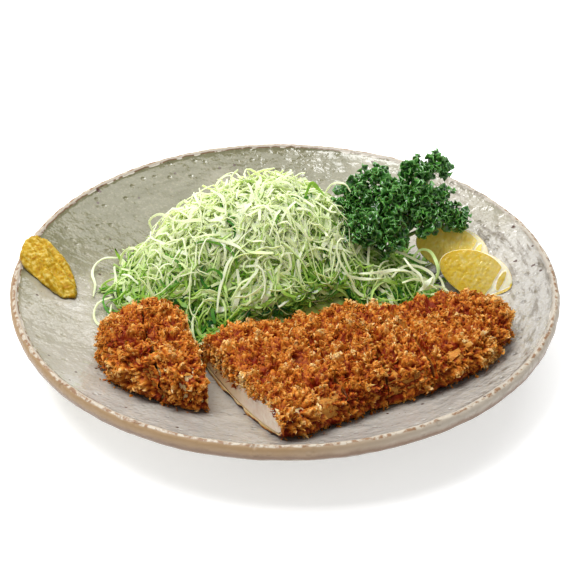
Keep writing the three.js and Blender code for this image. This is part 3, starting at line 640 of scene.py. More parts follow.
# Slices from left to right: the body they belong to and the cuts at their left and right.
SLICES = [
    ("a1", "end", None, "a"), ("a2", "end", "a", "endFace"), ("b1", "main", "mainEnd", "b"),
    ("b2", "main", "b", "bc"), ("c1", "main", "bc", "c"), ("c2", "main", "c", "cd"),
    ("d", "main", "cd", None),
]

OVER_POINTS = 190  # points over the top of each section of a slice
UNDER_POINTS = 46  # points along its underside
MEAT_POINTS = (96, 30)  # the same two for the meat
BARE_ROWS = 3  # sections next to a cut that lie in its bare part
BAND = 0.55  # spacing of the sections
FACE_STEPS = 7  # steps across the crust at a cut face
OUTLINE_POINTS = 110
SECTION_POINTS = 260  # points along a section before it is spaced evenly

# Points of the crust's grid for each crumb that stands on it, long and angular ones, and
# for each one that has fallen on the plate
SPOTS_PER_SHARD = 14
SPOTS_PER_GRAIN = 4.1
SPOTS_PER_FALLEN = 9
FALLEN_BELOW = 3.5  # height of the crust over the plate up to which crumbs fall off it
FALLEN_TONE = 0.36

# Crumbs that hang over the upper edge of the fringed face
FRINGE_SPOTS = 1200
FRINGE_SHARDS = 330
FRINGE_GRAINS = 1500

CRUST_SWELL = (10, 1.3)  # size and height of what lifts and lowers the whole crust
CRUST_GRAIN = (0.95, 0.45)  # the same of its finest roughness
CRUST_SUNK = 0.4  # how far it starts below the CAD solid's surface
TONE_START = -0.45
TONE_PATCHES = (15, 0.17)  # size and strength of darker and paler patches

# Crumbs that the crust itself is made of, coarse to fine: size, how far noise bends their
# edges, height, the level of 0 to 1 that is left where it was, their part in the tone (higher
# parts painted lighter and hollows darker, as painted light and shade) and how far the tone of
# one differs from the next
CRUMBS = [(6.4, 1.4, 4.2, 0.62, 0.38, 0.06), (2.8, 0.8, 3.0, 0.6, 0.4, 0.14),
          (1.3, 0.5, 1.4, 0.5, 0.62, 0.22)]


def closed_outline(corners, count):
    """Evenly spaced points on a closed centripetal spline through plan points."""
    p = np.asarray(corners, float)
    before, after, beyond = np.roll(p, 1, 0), np.roll(p, -1, 0), np.roll(p, -2, 0)

    def knot(a, b):
        return np.linalg.norm(b - a, axis=1, keepdims=True) ** 0.5

    d0, d1, d2 = knot(before, p), knot(p, after), knot(after, beyond)
    leave = d1 * ((p - before) / d0 - (after - before) / (d0 + d1) + (after - p) / d1)
    arrive = d1 * ((after - p) / d1 - (beyond - p) / (d1 + d2) + (beyond - after) / d2)
    t = np.linspace(0, 1, 24, endpoint=False)[None, :, None]
    p, after, leave, arrive = [a[:, None] for a in (p, after, leave, arrive)]
    curve = ((2 * t ** 3 - 3 * t ** 2 + 1) * p + (t ** 3 - 2 * t ** 2 + t) * leave
             + (3 * t ** 2 - 2 * t ** 3) * after + (t ** 3 - t ** 2) * arrive)
    loop = np.vstack([curve.reshape(-1, 2), curve[0, :1]])
    return resample(loop, count + 1)[:-1]


def resample(line, count):
    """Evenly spaced points along a line of points."""
    steps = np.linalg.norm(np.diff(line, axis=0), axis=1)
    run = np.concatenate([[0], np.cumsum(steps)])
    at = np.linspace(0, run[-1], count)
    return np.stack([np.interp(at, run, line[:, k]) for k in range(line.shape[1])], 1)


def offset_outline(outline, distance):
    """A closed outline moved outward by a distance."""
    before, after = np.roll(outline, 1, 0), np.roll(outline, -1, 0)
    outward = unit(np.stack([after[:, 1] - before[:, 1], before[:, 0] - after[:, 0]], 1))
    x, y = outline.T
    area = np.sum(x * np.roll(y, -1) - np.roll(x, -1) * y)
    return outline + np.sign(area) * distance * outward


def distance_to(outline, x, y):
    """Distance of each point from a closed outline."""
    start, span = outline, np.roll(outline, -1, 0) - outline
    probe = np.stack([x, y], -1)[:, None]
    share = ((probe - start) * span).sum(-1) / (span ** 2).sum(-1)
    foot = start + clip(share)[..., None] * span
    return np.linalg.norm(probe - foot, axis=-1).min(1)


def inside(outline, x, y):
    """Whether each point lies inside a closed outline."""
    (x0, y0), (x1, y1) = outline.T, np.roll(outline, -1, 0).T
    x, y = x[:, None], y[:, None]
    crosses = (y0 > y) != (y1 > y)
    with np.errstate(divide="ignore", invalid="ignore"):
        hit = x < (x1 - x0) * (y - y0) / (y1 - y0) + x0
    return (crosses & hit).sum(1) % 2 == 1


def cutlet_base(x, y):
    """Height of the underside: a gentle slope, or the glaze where that is higher."""
    v = y * math.cos(CUTLET_TURN) - x * math.sin(CUTLET_TURN)
    leaning = BACK_HEIGHT + LEAN * np.maximum(0, -v - 30)
    return np.maximum(plate_top(x, y) + REST, leaning)


def crags(x, y):
    """Coarse roughness of the crust, from about -1 to 1."""
    coarse = noise(x / CRAG_SIZE, y / CRAG_SIZE, 0.5)
    fine = noise(2.3 * x / CRAG_SIZE + 7, 2.3 * y / CRAG_SIZE, 3.5)
    return 0.7 * coarse + 0.5 * fine


def swell(distance, taper):
    """Rise from 0 at the edge to 1 where the taper ends."""
    far = 1 - clip(distance / taper)
    return (1 - far ** ROUNDNESS) ** (1 / ROUNDNESS)


class Layer:
    """One surface of a cutlet: a plan outline with heights above the base inside it."""

    def __init__(self, body, inset, bottom, edge, top, taper, crag=0.0):
        outline = closed_outline(BODIES[body][0], OUTLINE_POINTS)
        self.outline = offset_outline(outline, -inset)
        self.bottom, self.edge, self.top = bottom, edge, top
        self.taper, self.crag = taper, crag

    def over(self, x, y):
        inward = distance_to(self.outline, x, y)
        rough = self.crag * clip(inward / 3) * crags(x, y)
        return self.edge + (self.top - self.edge) * swell(inward, self.taper) + rough

    def under(self, x, y):
        inward = clip(distance_to(self.outline, x, y) / 4)
        return self.bottom + (self.edge - self.bottom) * (1 - inward) ** 2


def coating_layer(body):
    return Layer(body, 0, 0, EDGE_THICKNESS, BODIES[body][1], TAPER, CRAG_HEIGHT)


def meat_layer(body, clearance):
    bottom = UNDER_CRUST - clearance
    top = BODIES[body][1] - OVER_CRUST + clearance
    return Layer(body, SIDE_CRUST - clearance, bottom, bottom + 1.5, top, MEAT_TAPER)


def right_of(line):
    """The plan direction to the right of a line that runs backward."""
    (x0, y0), (x1, y1) = line
    return unit(np.array([y1 - y0, x0 - x1]))


def chord(outline, line):
    """Front and back points at which a plan line crosses a closed outline."""
    line = np.asarray(line, float)
    side = (outline - line[0]) @ right_of(line)
    after = np.roll(side, -1)
    crossing = (side < 0) != (after < 0)
    share = (side / (side - after))[crossing][:, None]
    hits = outline[crossing] + share * (np.roll(outline, -1, 0) - outline)[crossing]
    order = np.argsort(hits @ (line[1] - line[0]))
    return hits[order[0]], hits[order[-1]]


def section(layer, line, points, cut=None, side=0, wear=0.0):
    """Closed section of a layer over a plan line: front rim, top, back rim, underside."""
    near, far = chord(layer.outline, line)

    def run(height_of):
        share = 0.5 * (1 - np.cos(np.pi * np.linspace(0, 1, SECTION_POINTS)))[:, None]
        x, y = (near + share * (far - near)).T
        height = height_of(x, y)
        height = height - wear * np.maximum(0, height - layer.edge)
        base = cutlet_base(x, y)
        if cut:
            opening = cut["gap"] + cut["flare"] * (height / MAIN_THICKNESS) ** 2
            if layer.crag:
                front, back = cut["open"]
                ragged = 0.8 * noise(x / 2.6, y / 2.6, side + height / 2.6)
                opening = opening * (front + (back - front) * share[:, 0]) + ragged
            right = right_of(cut["line"])
            x, y = x + side * opening / 2 * right[0], y + side * opening / 2 * right[1]
        return np.stack([x, y, base + height], 1)

    over = resample(run(layer.over), points[0])
    under = resample(run(layer.under), points[1] + 2)[-2:0:-1]
    return np.vstack([over, under])


def sections(slice_cuts, layer, spacing, points=(OVER_POINTS, UNDER_POINTS)):
    """Sections of a slice from its left end to its right one."""
    left, right = [CUTS[name] if name else None for name in slice_cuts]

    def wear(distance, cut):
        if not layer.crag:
            return 0.0
        return cut["worn"] * max(0.0, 1 - distance / WEAR_REACH) ** 1.5

    if left and right:
        a, b = np.array(left["line"]), np.array(right["line"])
        width = np.linalg.norm((b - a).mean(0))
        count = max(2, int(width / spacing))
        rings = [section(layer, a, points, left, 1, wear(0, left))]
        for k in range(1, count):
            share = k / count
            worn = max(wear(share * width, left), wear((1 - share) * width, right))
            rings.append(section(layer, a + (b - a) * share, points, wear=worn))
        rings.append(section(layer, b, points, right, -1, wear(0, right)))
        return np.array(rings)
    cut, side = (left, 1) if left else (right, -1)
    line, right_way = np.array(cut["line"]), right_of(cut["line"])
    away = side * (layer.outline - line[0]) @ right_way
    reach = away.max()
    count = int(1.08 * reach / spacing)
    rings = [section(layer, line, points, cut, side, wear(0, cut))]
    for k in range(1, count):
        distance = reach * (1 - (1 - k / count) ** 1.5)
        rings.append(section(layer, line + side * distance * right_way, points,
                             wear=wear(distance, cut)))
    tip = layer.outline[away.argmax()]
    height = cutlet_base(tip[0], tip[1]) + layer.edge
    rings.append(np.tile([tip[0], tip[1], height], (len(rings[0]), 1)))
    return np.array(rings if left else rings[::-1])


def outward_normals(rings):
    """Unit normals of a grid of sections that point out of the slice."""
    around = np.roll(rings, -1, 1) - np.roll(rings, 1, 1)
    normals = unit(np.cross(around, np.gradient(rings, axis=0)))
    middle = rings.mean(1, keepdims=True)
    if ((rings - middle) * normals).sum() < 0:
        normals = -normals
    return normals


def rough_crust(rings, slice_cuts):
    """The outer sections of a slice with breadcrumbs standing out, and their tone: painted light
    on the crumbs' heights and painted shade in the hollows between them.
    """
    normals = outward_normals(rings)
    if slice_cuts[0] is None:
        normals[0] = unit(normals[1].mean(0))
    if slice_cuts[1] is None:
        normals[-1] = unit(normals[-2].mean(0))
    flat = rings.reshape(-1, 3)
    warp = np.stack([fractal(flat + shift, 2.2, 3) for shift in (0, 31, 57)], 1)
    crumbs = [crumb_relief(flat + bend * warp, size, salt)
              for salt, (size, bend, *_) in enumerate(CRUMBS, 1)]
    rough = fractal(flat, CRUST_GRAIN[0], 2)
    relief = CRUST_SWELL[1] * fractal(flat, CRUST_SWELL[0], 2)
    # The tone rises with each crumb's height and with the fine roughness: painted light on the
    # heights and painted shade in the hollows.
    tone = TONE_START
    for (height, _), (_, _, rise, level, part, _) in zip(crumbs, CRUMBS):
        relief = relief + rise * (height - level)
        tone = tone + part * height
    relief = relief - CRUST_SUNK + CRUST_GRAIN[1] * rough
    tone = tone + TONE_PATCHES[1] * fractal(flat, TONE_PATCHES[0], 2) + 0.2 * rough
    for (_, own), (*_, spread) in zip(crumbs, CRUMBS):
        tone = tone + spread * (own - 0.5)
    facing = normals.reshape(-1, 3)
    free = clip(1 + 1.1 * facing[:, 2], 0.3, 1)
    moved = flat + facing * (relief * free)[:, None]
    return moved.reshape(rings.shape), normals, tone.reshape(rings.shape[:2])


def cut_face(outer, inner, cut):
    """Rows of points across the crust at a cut, from the outer ring to the inner one."""
    right = np.array([*right_of(cut["line"]), 0])
    rows = []
    for share in np.arange(1, FACE_STEPS) / FACE_STEPS:
        row = outer + (inner - outer) * share
        row = row + right * (0.3 * fractal(row, 1.5, 2) * math.sin(math.pi * share))[:, None]
        rows.append(row)
    return rows


def shards(rng, points, normals, tones, count):
    """Long crumbs standing on a surface: bent strips of three points with ragged widths."""
    steps = 3
    pick = rng.integers(0, len(points), count)
    base, normal = points[pick], normals[pick]
    along = unit(np.cross(normal, rng.normal(size=(count, 3))))
    along = unit(along + rng.uniform(-0.1, 1.6, (count, 1)) * normal)
    across = unit(np.cross(along, normal + 0.8 * rng.normal(size=(count, 3))))
    length = rng.gamma(5.0, 0.3, count)[:, None, None]
    bow = rng.normal(0, 0.5, (count, 1, 1))
    t = np.linspace(-0.4, 0.6, steps)[None, :, None]
    up = unit(np.cross(along, across))
    bend = bow * (t - 0.15) ** 2 * up[:, None]
    centres = base[:, None] + length * (t * along[:, None] + bend)
    shape = np.array([0.8, 1.0, 0.25])
    widths = rng.uniform(0.2, 0.65, (count, 1)) * shape * rng.uniform(0.6, 1.3, (count, steps))
    thick = rng.uniform(0.15, 0.3, (count, 1)) * np.ones((1, steps))
    solid, quads = ribbons(centres, np.repeat(across[:, None], steps, 1),
                           np.repeat(up[:, None], steps, 1), widths, thick)
    tone = np.repeat(tones[pick] + rng.normal(-0.08, 0.08, count), steps * 4)
    # Each shard is painted darker at its foot by the crust and lighter at its raised tip: painted
    # shade and light.
    tone += np.tile(np.repeat([-0.15, 0.0, 0.1], 4), count)
    return solid, quads, tone


GRAIN_CORNERS = np.array([(1, 0, 0), (-1, 0, 0), (0, 1, 0), (0, -1, 0), (0, 0, 1), (0, 0, -1)])
GRAIN_FACES = np.array([(0, 2, 4), (2, 1, 4), (1, 3, 4), (3, 0, 4),
                        (2, 0, 5), (1, 2, 5), (3, 1, 5), (0, 3, 5)])


def grains(rng, points, normals, tones, count):
    """Angular crumbs half sunk in a surface: skewed octahedra."""
    # Most crumbs sit on the crests, where the tone is painted lighter.
    weight = clip(tones, 0.05, 1) ** 1.2
    pick = rng.choice(len(points), count, p=weight / weight.sum())
    size = np.minimum(rng.gamma(5.0, 0.075, (count, 1, 1)), 0.7)
    skew = 0.8 * np.eye(3) + 0.75 * rng.normal(size=(count, 3, 3))
    corners = GRAIN_CORNERS @ skew * size * rng.uniform(0.6, 1.4, (count, 6, 1))
    centres = points[pick] + normals[pick] * rng.uniform(-0.2, 0.6, (count, 1))
    flipped = np.linalg.det(skew) < 0
    faces = np.where(flipped[:, None, None], GRAIN_FACES[:, ::-1], GRAIN_FACES)
    faces = repeated(faces, count, 6)
    tone = np.repeat(tones[pick] + rng.normal(-0.02, 0.08, count), 6)
    # Corners that point out of the crust are painted lighter and those that point into it darker:
    # painted light and shade.
    tone += 0.16 * ((corners * normals[pick][:, None]).sum(-1)).ravel()
    return (corners + centres[:, None]).reshape(-1, 3), faces, tone


def add_crumbs(rng, pile, kind, spots, count):
    """Adds shards or grains on spots, each a point, a normal and a tone."""
    points, faces, tone = kind(rng, *spots, count)
    pile.add(points, faces, smooth=False, tone=tone, depth=0.0)


def fallen(rng, points, normals, tones):
    """Spots for crumbs that lie on the plate at the foot of the crust."""
    steep = (normals[:, 2] < -0.1) & (normals[:, 2] > -0.85)
    low = steep & (points[:, 2] - plate_top(points[:, 0], points[:, 1]) < FALLEN_BELOW)
    spots = points[low].copy()
    spots[:, :2] += normals[low, :2] * rng.gamma(1.5, 0.6, (low.sum(), 1))
    spots[:, 2] = plate_top(spots[:, 0], spots[:, 1]) + 0.35
    return spots, np.tile([0.0, 0.0, 1.0], (low.sum(), 1)), np.full(low.sum(), FALLEN_TONE)


def fringe(rng, ring, tone):
    """Spots for crumbs over the upper edge of the fringed face, lower down toward the back."""
    pick = (4 + (OVER_POINTS - 12) * rng.uniform(size=FRINGE_SPOTS) ** 0.75).astype(int)
    back = pick / OVER_POINTS
    outward = -np.array([*right_of(CUTS[FRINGED]["line"]), 0])
    drop = rng.uniform(-0.2, 1, FRINGE_SPOTS) * (1.6 + 11 * back ** 1.1)
    spots = ring[pick] + outward * (0.25 + 0.35 * (drop > 0.5))[:, None]
    spots[:, 2] -= drop
    normals = np.tile(unit(outward + np.array([0, 0, 0.5])), (FRINGE_SPOTS, 1))
    return spots, normals, tone[pick] + 0.12


def build_crust(name, body, slice_cuts, material, rng):
    left, right = slice_cuts
    outer = sections(slice_cuts, coating_layer(body), BAND)
    inner = sections(slice_cuts, meat_layer(body, GAP), 4.0)
    outer, normals, tone = rough_crust(outer, slice_cuts)
    crumbed = normals[..., 2] > -0.8
    for cut, near in ((left, slice(0, BARE_ROWS)), (right, slice(-BARE_ROWS, None))):
        if cut:
            crumbed[near, :int(CUTS[cut]["bare"] * OVER_POINTS)] = False
    crumbed = crumbed.reshape(-1)
    spots = [outer.reshape(-1, 3)[crumbed], normals.reshape(-1, 3)[crumbed],
             tone.reshape(-1)[crumbed]]
    if not right:
        outer, inner, tone, normals = outer[::-1], inner[::-1], tone[::-1], normals[::-1]
    # Rows run over the outside, across one cut, back through the hollow for the meat and,
    # where the slice has two cuts, across the other one.
    # In narrow cuts the crust's face keeps the darker crust tone instead of pale batter: painted
    # shade.
    unshaded_share = 1.0 if set(slice_cuts) & set(OPEN_FACES) else 0.3
    face = cut_face(outer[-1], inner[-1], CUTS[right or left])
    other = cut_face(outer[0], inner[0], CUTS[left])[::-1] if left and right else []
    shares = np.arange(1, FACE_STEPS) / FACE_STEPS
    rows = np.array([*outer, *face, *inner[::-1], *other])
    depths = unshaded_share * np.concatenate([np.zeros(len(outer)), shares, np.ones(len(inner)),
                                     shares[::-1][:len(other)]])
    tones = [*tone, *[tone[-1]] * (len(face) + len(inner)), *[tone[0]] * len(other)]
    pile = Pile()
    pile.add(rows, grid_quads(len(rows), rows.shape[1], wrap_rows=bool(left and right)),
             tone=np.array(tones), depth=np.repeat(depths, rows.shape[1]))
    add_crumbs(rng, pile, shards, spots, int(crumbed.sum() / SPOTS_PER_SHARD))
    add_crumbs(rng, pile, grains, spots, int(crumbed.sum() / SPOTS_PER_GRAIN))
    lying = fallen(rng, outer.reshape(-1, 3), normals.reshape(-1, 3), tone.reshape(-1))
    if len(lying[0]):
        add_crumbs(rng, pile, grains, lying, int(len(lying[0]) / SPOTS_PER_FALLEN))
    if left == FRINGED:
        hanging = fringe(rng, outer[0], tone[0])
        add_crumbs(rng, pile, shards, hanging, FRINGE_SHARDS)
        add_crumbs(rng, pile, grains, hanging, FRINGE_GRAINS)
    pile.build(f"crust_{name}", material, [f"coating_{name}"], weld=True)


def breading():
    """Fried crumbs, pale and batter-like toward the meat where depth rises to 1."""
    finish = Finish("fried_breadcrumbs", Roughness=0.45, Specular_IOR_Level=0.2,
                    Specular_Tint=(1.0, 0.72, 0.45, 1.0), Subsurface_Weight=0.25,
                    Subsurface_Scale=0.0012, Subsurface_Radius=(1.0, 0.4, 0.1))
    grain = finish.noise(0.8, 3.0)
    tone = finish.value("tone") + (grain - 0.5) * 0.4
    crust = tone.ramp((0.0, (0.17, 0.01, 0.001)), (0.2, (0.33, 0.074, 0.007)),
                      (0.4, (0.5, 0.155, 0.014)), (0.62, (0.68, 0.32, 0.07)),
                      (0.95, (0.88, 0.63, 0.3)))
    batter = finish.mix(grain, (0.72, 0.5, 0.22), (0.8, 0.62, 0.34))
    inward = finish.value("depth") + (grain - 0.5) * 0.35
    browned = finish.mix(inward.ramp((0.15, 0.0), (0.4, 1.0)), crust, (0.62, 0.3, 0.06))
    finish.colour(finish.mix(inward.ramp((0.35, 0.0), (0.6, 1.0)), browned, batter))
    finish.bump(finish.noise(0.55, 3.0), 0.25, 0.7)
    return finish.material


def build_pork(name, body, slice_cuts, material):
    over_points, across = MEAT_POINTS[0], 14
    rings = sections(slice_cuts, meat_layer(body, 0.0), 3.0, MEAT_POINTS)
    pile = Pile()
    pile.add(rings, grid_quads(len(rings), rings.shape[1]), shade=1.0)
    for cut_name, ring in zip(slice_cuts, (rings[0], rings[-1])):
        if not cut_name:
            continue
        over = ring[:over_points]
        under = np.vstack([over[-1:], ring[over_points:], over[:1]])
        under = resample(under[::-1], over_points)
        share = np.linspace(0, 1, across)[:, None, None]
        grid = over + (under - over) * share
        right = np.array([*right_of(CUTS[cut_name]["line"]), 0])
        fibres = fractal(grid * np.array([1, 1, 0.35]), 2.4, 3) * 0.16
        fade = np.minimum(1, 6 * np.minimum(share, 1 - share))
        ends = np.minimum(1, 12 * np.minimum(np.linspace(0, 1, over_points),
                                             np.linspace(1, 0, over_points)))
        grid = grid + right * (fibres * fade[..., 0] * ends)[..., None]
        # Narrow cuts are painted dark inside as shade; an open face is browned along its edge and
        # painted with shade toward its back, where the end piece shadows it.
        near_edge = clip(1 - share[..., 0] * 9) + clip(share[..., 0] * 14 - 13)
        back = np.linspace(0, 1, over_points)
        shade = near_edge * 0.6 + 0.75 * clip((back - 0.3) / 0.6, 0, 0.8)
        if cut_name not in OPEN_FACES:
            shade = np.ones_like(shade)
        pile.add(grid, grid_quads(across, over_points, wrap_columns=False), shade=shade)
    pile.build(f"meat_{name}", material, [f"pork_{name}"], weld=True)


def pork():
    """Cooked meat, browner and then dark as shade rises to 1: browned edges, and painted shade
    toward the back of an open face and inside narrow cuts.
    """
    finish = Finish("cooked_pork", Roughness=0.42, Subsurface_Weight=0.35,
                    Subsurface_Scale=0.003, Subsurface_Radius=(1.0, 0.5, 0.3))
    fibres = finish.noise(3.2, 4.0)
    flesh = fibres.ramp((0.35, (0.74, 0.56, 0.43)), (0.55, (0.82, 0.68, 0.55)),
                        (0.7, (0.88, 0.78, 0.66)))
    flesh = finish.mix(finish.noise(0.8, 2.0).ramp((0.35, 0.25), (0.6, 0.0)), flesh,
                       (0.72, 0.54, 0.4))
    shade = finish.value("shade") + (fibres - 0.5) * 0.5
    cooked_and_shaded = finish.mix(shade.ramp((0.1, 0.0), (0.6, 1.0)), flesh, (0.66, 0.45, 0.2))
    finish.colour(finish.mix(shade.ramp((0.65, 0.0), (0.75, 1.0)), cooked_and_shaded, (0.2, 0.05, 0.01)))
    finish.bump(fibres, 0.3, 0.5)
    return finish.material


# -------- heights of what the food lies on

SUPPORT_HALF = 130
SUPPORT_CELLS = 2 * SUPPORT_HALF + 1


def support_map():
    """Height of the plate and the cutlets on a grid of one millimetre."""
    axis = np.arange(-SUPPORT_HALF, SUPPORT_HALF + 1.0)
    x, y = [grid.ravel() for grid in np.meshgrid(axis, axis, indexing="ij")]
    height = plate_top(x, y)
    for body, end in (("main", "mainEnd"), ("end", "endFace")):
        layer = coating_layer(body)
        line = np.array(CUTS[end]["line"])
        side = (np.stack([x, y], 1) - line[0]) @ right_of(line)
        kept = side > 0 if body == "main" else side < 0
        covered = inside(layer.outline, x, y) & kept
        top = cutlet_base(x[covered], y[covered]) + layer.over(x[covered], y[covered])
        height[covered] = np.maximum(height[covered], top)
    return height.reshape(SUPPORT_CELLS, SUPPORT_CELLS)


SUPPORT = support_map()


def support(x, y):
    """Height of the plate or cutlet under each point."""
    i = clip(x + SUPPORT_HALF, 0, SUPPORT_CELLS - 1.001)
    j = clip(y + SUPPORT_HALF, 0, SUPPORT_CELLS - 1.001)
    a, b = i.astype(int), j.astype(int)
    u, v = i - a, j - b
    low = SUPPORT[a, b] * (1 - v) + SUPPORT[a, b + 1] * v
    high = SUPPORT[a + 1, b] * (1 - v) + SUPPORT[a + 1, b + 1] * v
    return low * (1 - u) + high * u


def over_cutlet(x, y):
    """Whether each point has a cutlet under it and not the bare plate."""
    return support(x, y) - plate_top(x, y) > 2


# -------- cabbage

def mound(shape, x, y):
    """Height of one of the mounds that make the heap."""
    x0, y0 = shape["at"]
    sideways = (x - x0) / np.where(x > x0, shape["right"], shape["left"])
    far = sideways ** 2 + ((y - y0) / shape["depth"]) ** 2
    return shape["height"] * np.exp(-(far ** 1.5))


def heap_reach(angle):
    """Distance from the heap's centre to its edge."""
    c, s = np.cos(angle), np.sin(angle)
    lengthwise = np.where(c > 0, HEAP_REACH["right"], HEAP_REACH["left"])
    crosswise = np.where(s > 0, HEAP_REACH["back"], HEAP_REACH["front"])
    return 1 / np.hypot(c / lengthwise, s / crosswise)


def heap_share(x, y):
    """Distance from the heap's centre as a share of its reach."""
    dx, dy = x - HEAP_CENTRE[0], y - HEAP_CENTRE[1]
    return np.hypot(dx, dy) / heap_reach(np.arctan2(dy, dx))


def heap_top(x, y):
    """Height of the heap's even surface."""
    edge = np.maximum(0, 1 - heap_share(x, y) ** 4) ** 0.5
    lumps = 2 * noise(x / 14, y / 14, 2.5)
    return plate_top(x, y) + REST + edge * (mound(HEAP_PEAK, x, y) + mound(HEAP_SHOULDER, x, y)
                                            + lumps)


def heap_normal(x, y):
    """Unit normals of that surface."""
    span = 3.0
    slope_x = (heap_top(x + span, y) - heap_top(x - span, y)) / (2 * span)
    slope_y = (heap_top(x, y + span) - heap_top(x, y - span)) / (2 * span)
    return unit(np.stack([-slope_x, -slope_y, np.ones_like(slope_x)], -1))


def on_heap(angle, share):
    """Plan points at a share of the way from the heap's centre to its edge."""
    reach = heap_reach(angle) * share
    return HEAP_CENTRE[0] + reach * np.cos(angle), HEAP_CENTRE[1] + reach * np.sin(angle)


def heap_lumps(x, y):
    """Tufts and hollows of the shreds over the heap's even surface."""
    shoulder = 4.5 * np.exp(-((x + 50) / 15) ** 2 - ((y - 26) / 20) ** 2)
    return shoulder + 2.4 * noise(x / 9, y / 9, 7.7) + 1.2 * noise(x / 4.5, y / 4.5, 3.1)


def build_heap_core():
    """Inside of the heap, a little lower than the strands that cover it, painted dark as the shade
    between them.
    """
    sides, sunk = 160, 3.4
    angle = full_turn(sides)
    rows = []
    for share in [0.02, *np.linspace(0.08, 0.97, 40), 0.985]:
        x, y = on_heap(angle, share)
        top = heap_top(x, y) - sunk
        top = top + heap_lumps(x, y) + 0.9 * fractal(np.stack([x, y, top], 1), 4.0, 2)
        rows.append(np.stack([x, y, np.maximum(top, plate_top(x, y) + 0.6)], 1))
    for share in (0.97, 0.5, 0.02):
        x, y = on_heap(angle, share)
        rows.append(np.stack([x, y, plate_top(x, y) + REST], 1))
    pile = Pile()
    pile.add(with_poles(rows), grid_quads(len(rows), sides), tint=0.5)
    pile.build("cabbage_core", cabbage_leaf("cabbage_shade", 0.5, False),
                      ["cabbage"], weld=True)


CLOSE_BEHIND = 8  # distance from the cutlets within which the zone behind them lies
HANGING = 0.45  # share of the strands on a slope that hang downhill
CHANNEL = 2.5  # height over or under the heap's surface up to which strands lie as drawn

# Zones of the heap: the range of turns in degrees, and of the squared share of its reach
ZONES = {None: ((0, 360), (0, 1)), "front": ((-165, -10), (0.45, 1)),
         "behind": ((-165, -10), (0, 1)), "end": ((-35, 30), (0.75, 1.25))}


def strand_paths(rng, count, steps, length, radius, layer, tilt=0.35, reach=1.0, zone=None,
                 loose=0.45):
    """Middle lines of strands and the heap's normals under them.

    They lie all over the heap or in a zone of it: its front foot, close behind the cutlets or
    its right end.
    """
    tries = count if zone is None else 12 * count
    turns, shares = ZONES[zone]
    angle = rng.uniform(*np.radians(turns), tries)
    share = reach * np.sqrt(rng.uniform(*shares, tries))
    x, y = on_heap(angle, share)
    if zone == "behind":
        near = over_cutlet(x, y - CLOSE_BEHIND)
        x, y = x[near], y[near]
    x, y = x[:count], y[:count]
    count = len(x)
    normal = heap_normal(x, y)
    downhill = np.arctan2(normal[:, 1], normal[:, 0])
    # On the slopes some strands hang downhill.
    falls = (rng.uniform(size=count) < HANGING) & (normal[:, 2] < 0.92) & (zone != "behind")
    free = rng.uniform(0, 2 * np.pi, count)
    if zone == "behind":
        free = rng.normal(0.2, 0.7, count)
    heading = np.where(falls, downhill + rng.normal(0, 0.6, count), free)
    level = np.stack([np.cos(heading), np.sin(heading), np.zeros(count)], -1)
    tangent = unit(level - (level * normal).sum(-1, keepdims=True) * normal)
    side = np.cross(normal, tangent)
    tangent = unit(tangent + rng.normal(0, tilt, (count, 1)) * normal)
    roll = rng.normal(0, 0.6, (count, 1))
    inward = np.cos(roll) * side + np.sin(roll) * normal
    inward = unit(inward - (inward * tangent).sum(-1, keepdims=True) * tangent)
    total = rng.uniform(*length, count)
    along = np.linspace(-0.5, 0.5, steps)
    turn = rng.choice([-1, 1], count) / rng.uniform(*radius, count)
    waver, start = rng.uniform(0.2, 1.2, (count, 1)), rng.uniform(0, 6, (count, 1))
    bend = (total * turn)[:, None] * along + waver * 0.6 * np.sin(6 * along + start)
    ways = np.cos(bend)[..., None] * tangent[:, None] + np.sin(bend)[..., None] * inward[:, None]
    points = np.cumsum(ways, 1) * (total / (steps - 1))[:, None, None]
    points += np.stack([x, y, heap_top(x, y)], -1)[:, None] - points[:, steps // 2][:, None]
    points += (normal * rng.uniform(*layer, count)[:, None])[:, None]
    over = points[..., 2] - heap_top(*plan(points))
    # Strands that would lie on the cutlet are pushed back off it, and keep their height.
    for _ in range(4):
        x, y = plan(points)
        hit = over_cutlet(x, y).any(1)
        points[hit, :, 1] += 2.0
    x, y = plan(points)
    over = np.where(over > CHANNEL, CHANNEL + loose * (over - CHANNEL), over)
    over = clip(over, -CHANNEL, 2 + 9 * loose) + heap_lumps(x, y)
    points[..., 2] = clip(heap_top(x, y) + over, support(x, y) + 0.9, HIGHEST_STRAND)
    return points, np.repeat(normal[:, None], steps, 1)


def clear_of_lemons(points):
    """Which strands stay out of both lemon wedges."""
    keep = np.ones(len(points), bool)
    for lemon in (LEMON_FRONT, LEMON_BACK):
        face = unit(np.array(lemon["face"], float))
        lengthwise = unit(np.array(lemon["long"], float))
        away = points - np.array(lemon["at"])
        height = (away * face).sum(-1)
        a = (away * lengthwise).sum(-1) / (LEMON_HALF_LENGTH + 1)
        b = (away * np.cross(face, lengthwise)).sum(-1) / (LEMON_HALF_WIDTH + 1)
        within = (np.hypot(a, b) < 1) & (height < 2) & (height > -LEMON_DEPTH)
        keep &= ~within.any(1)
    return keep


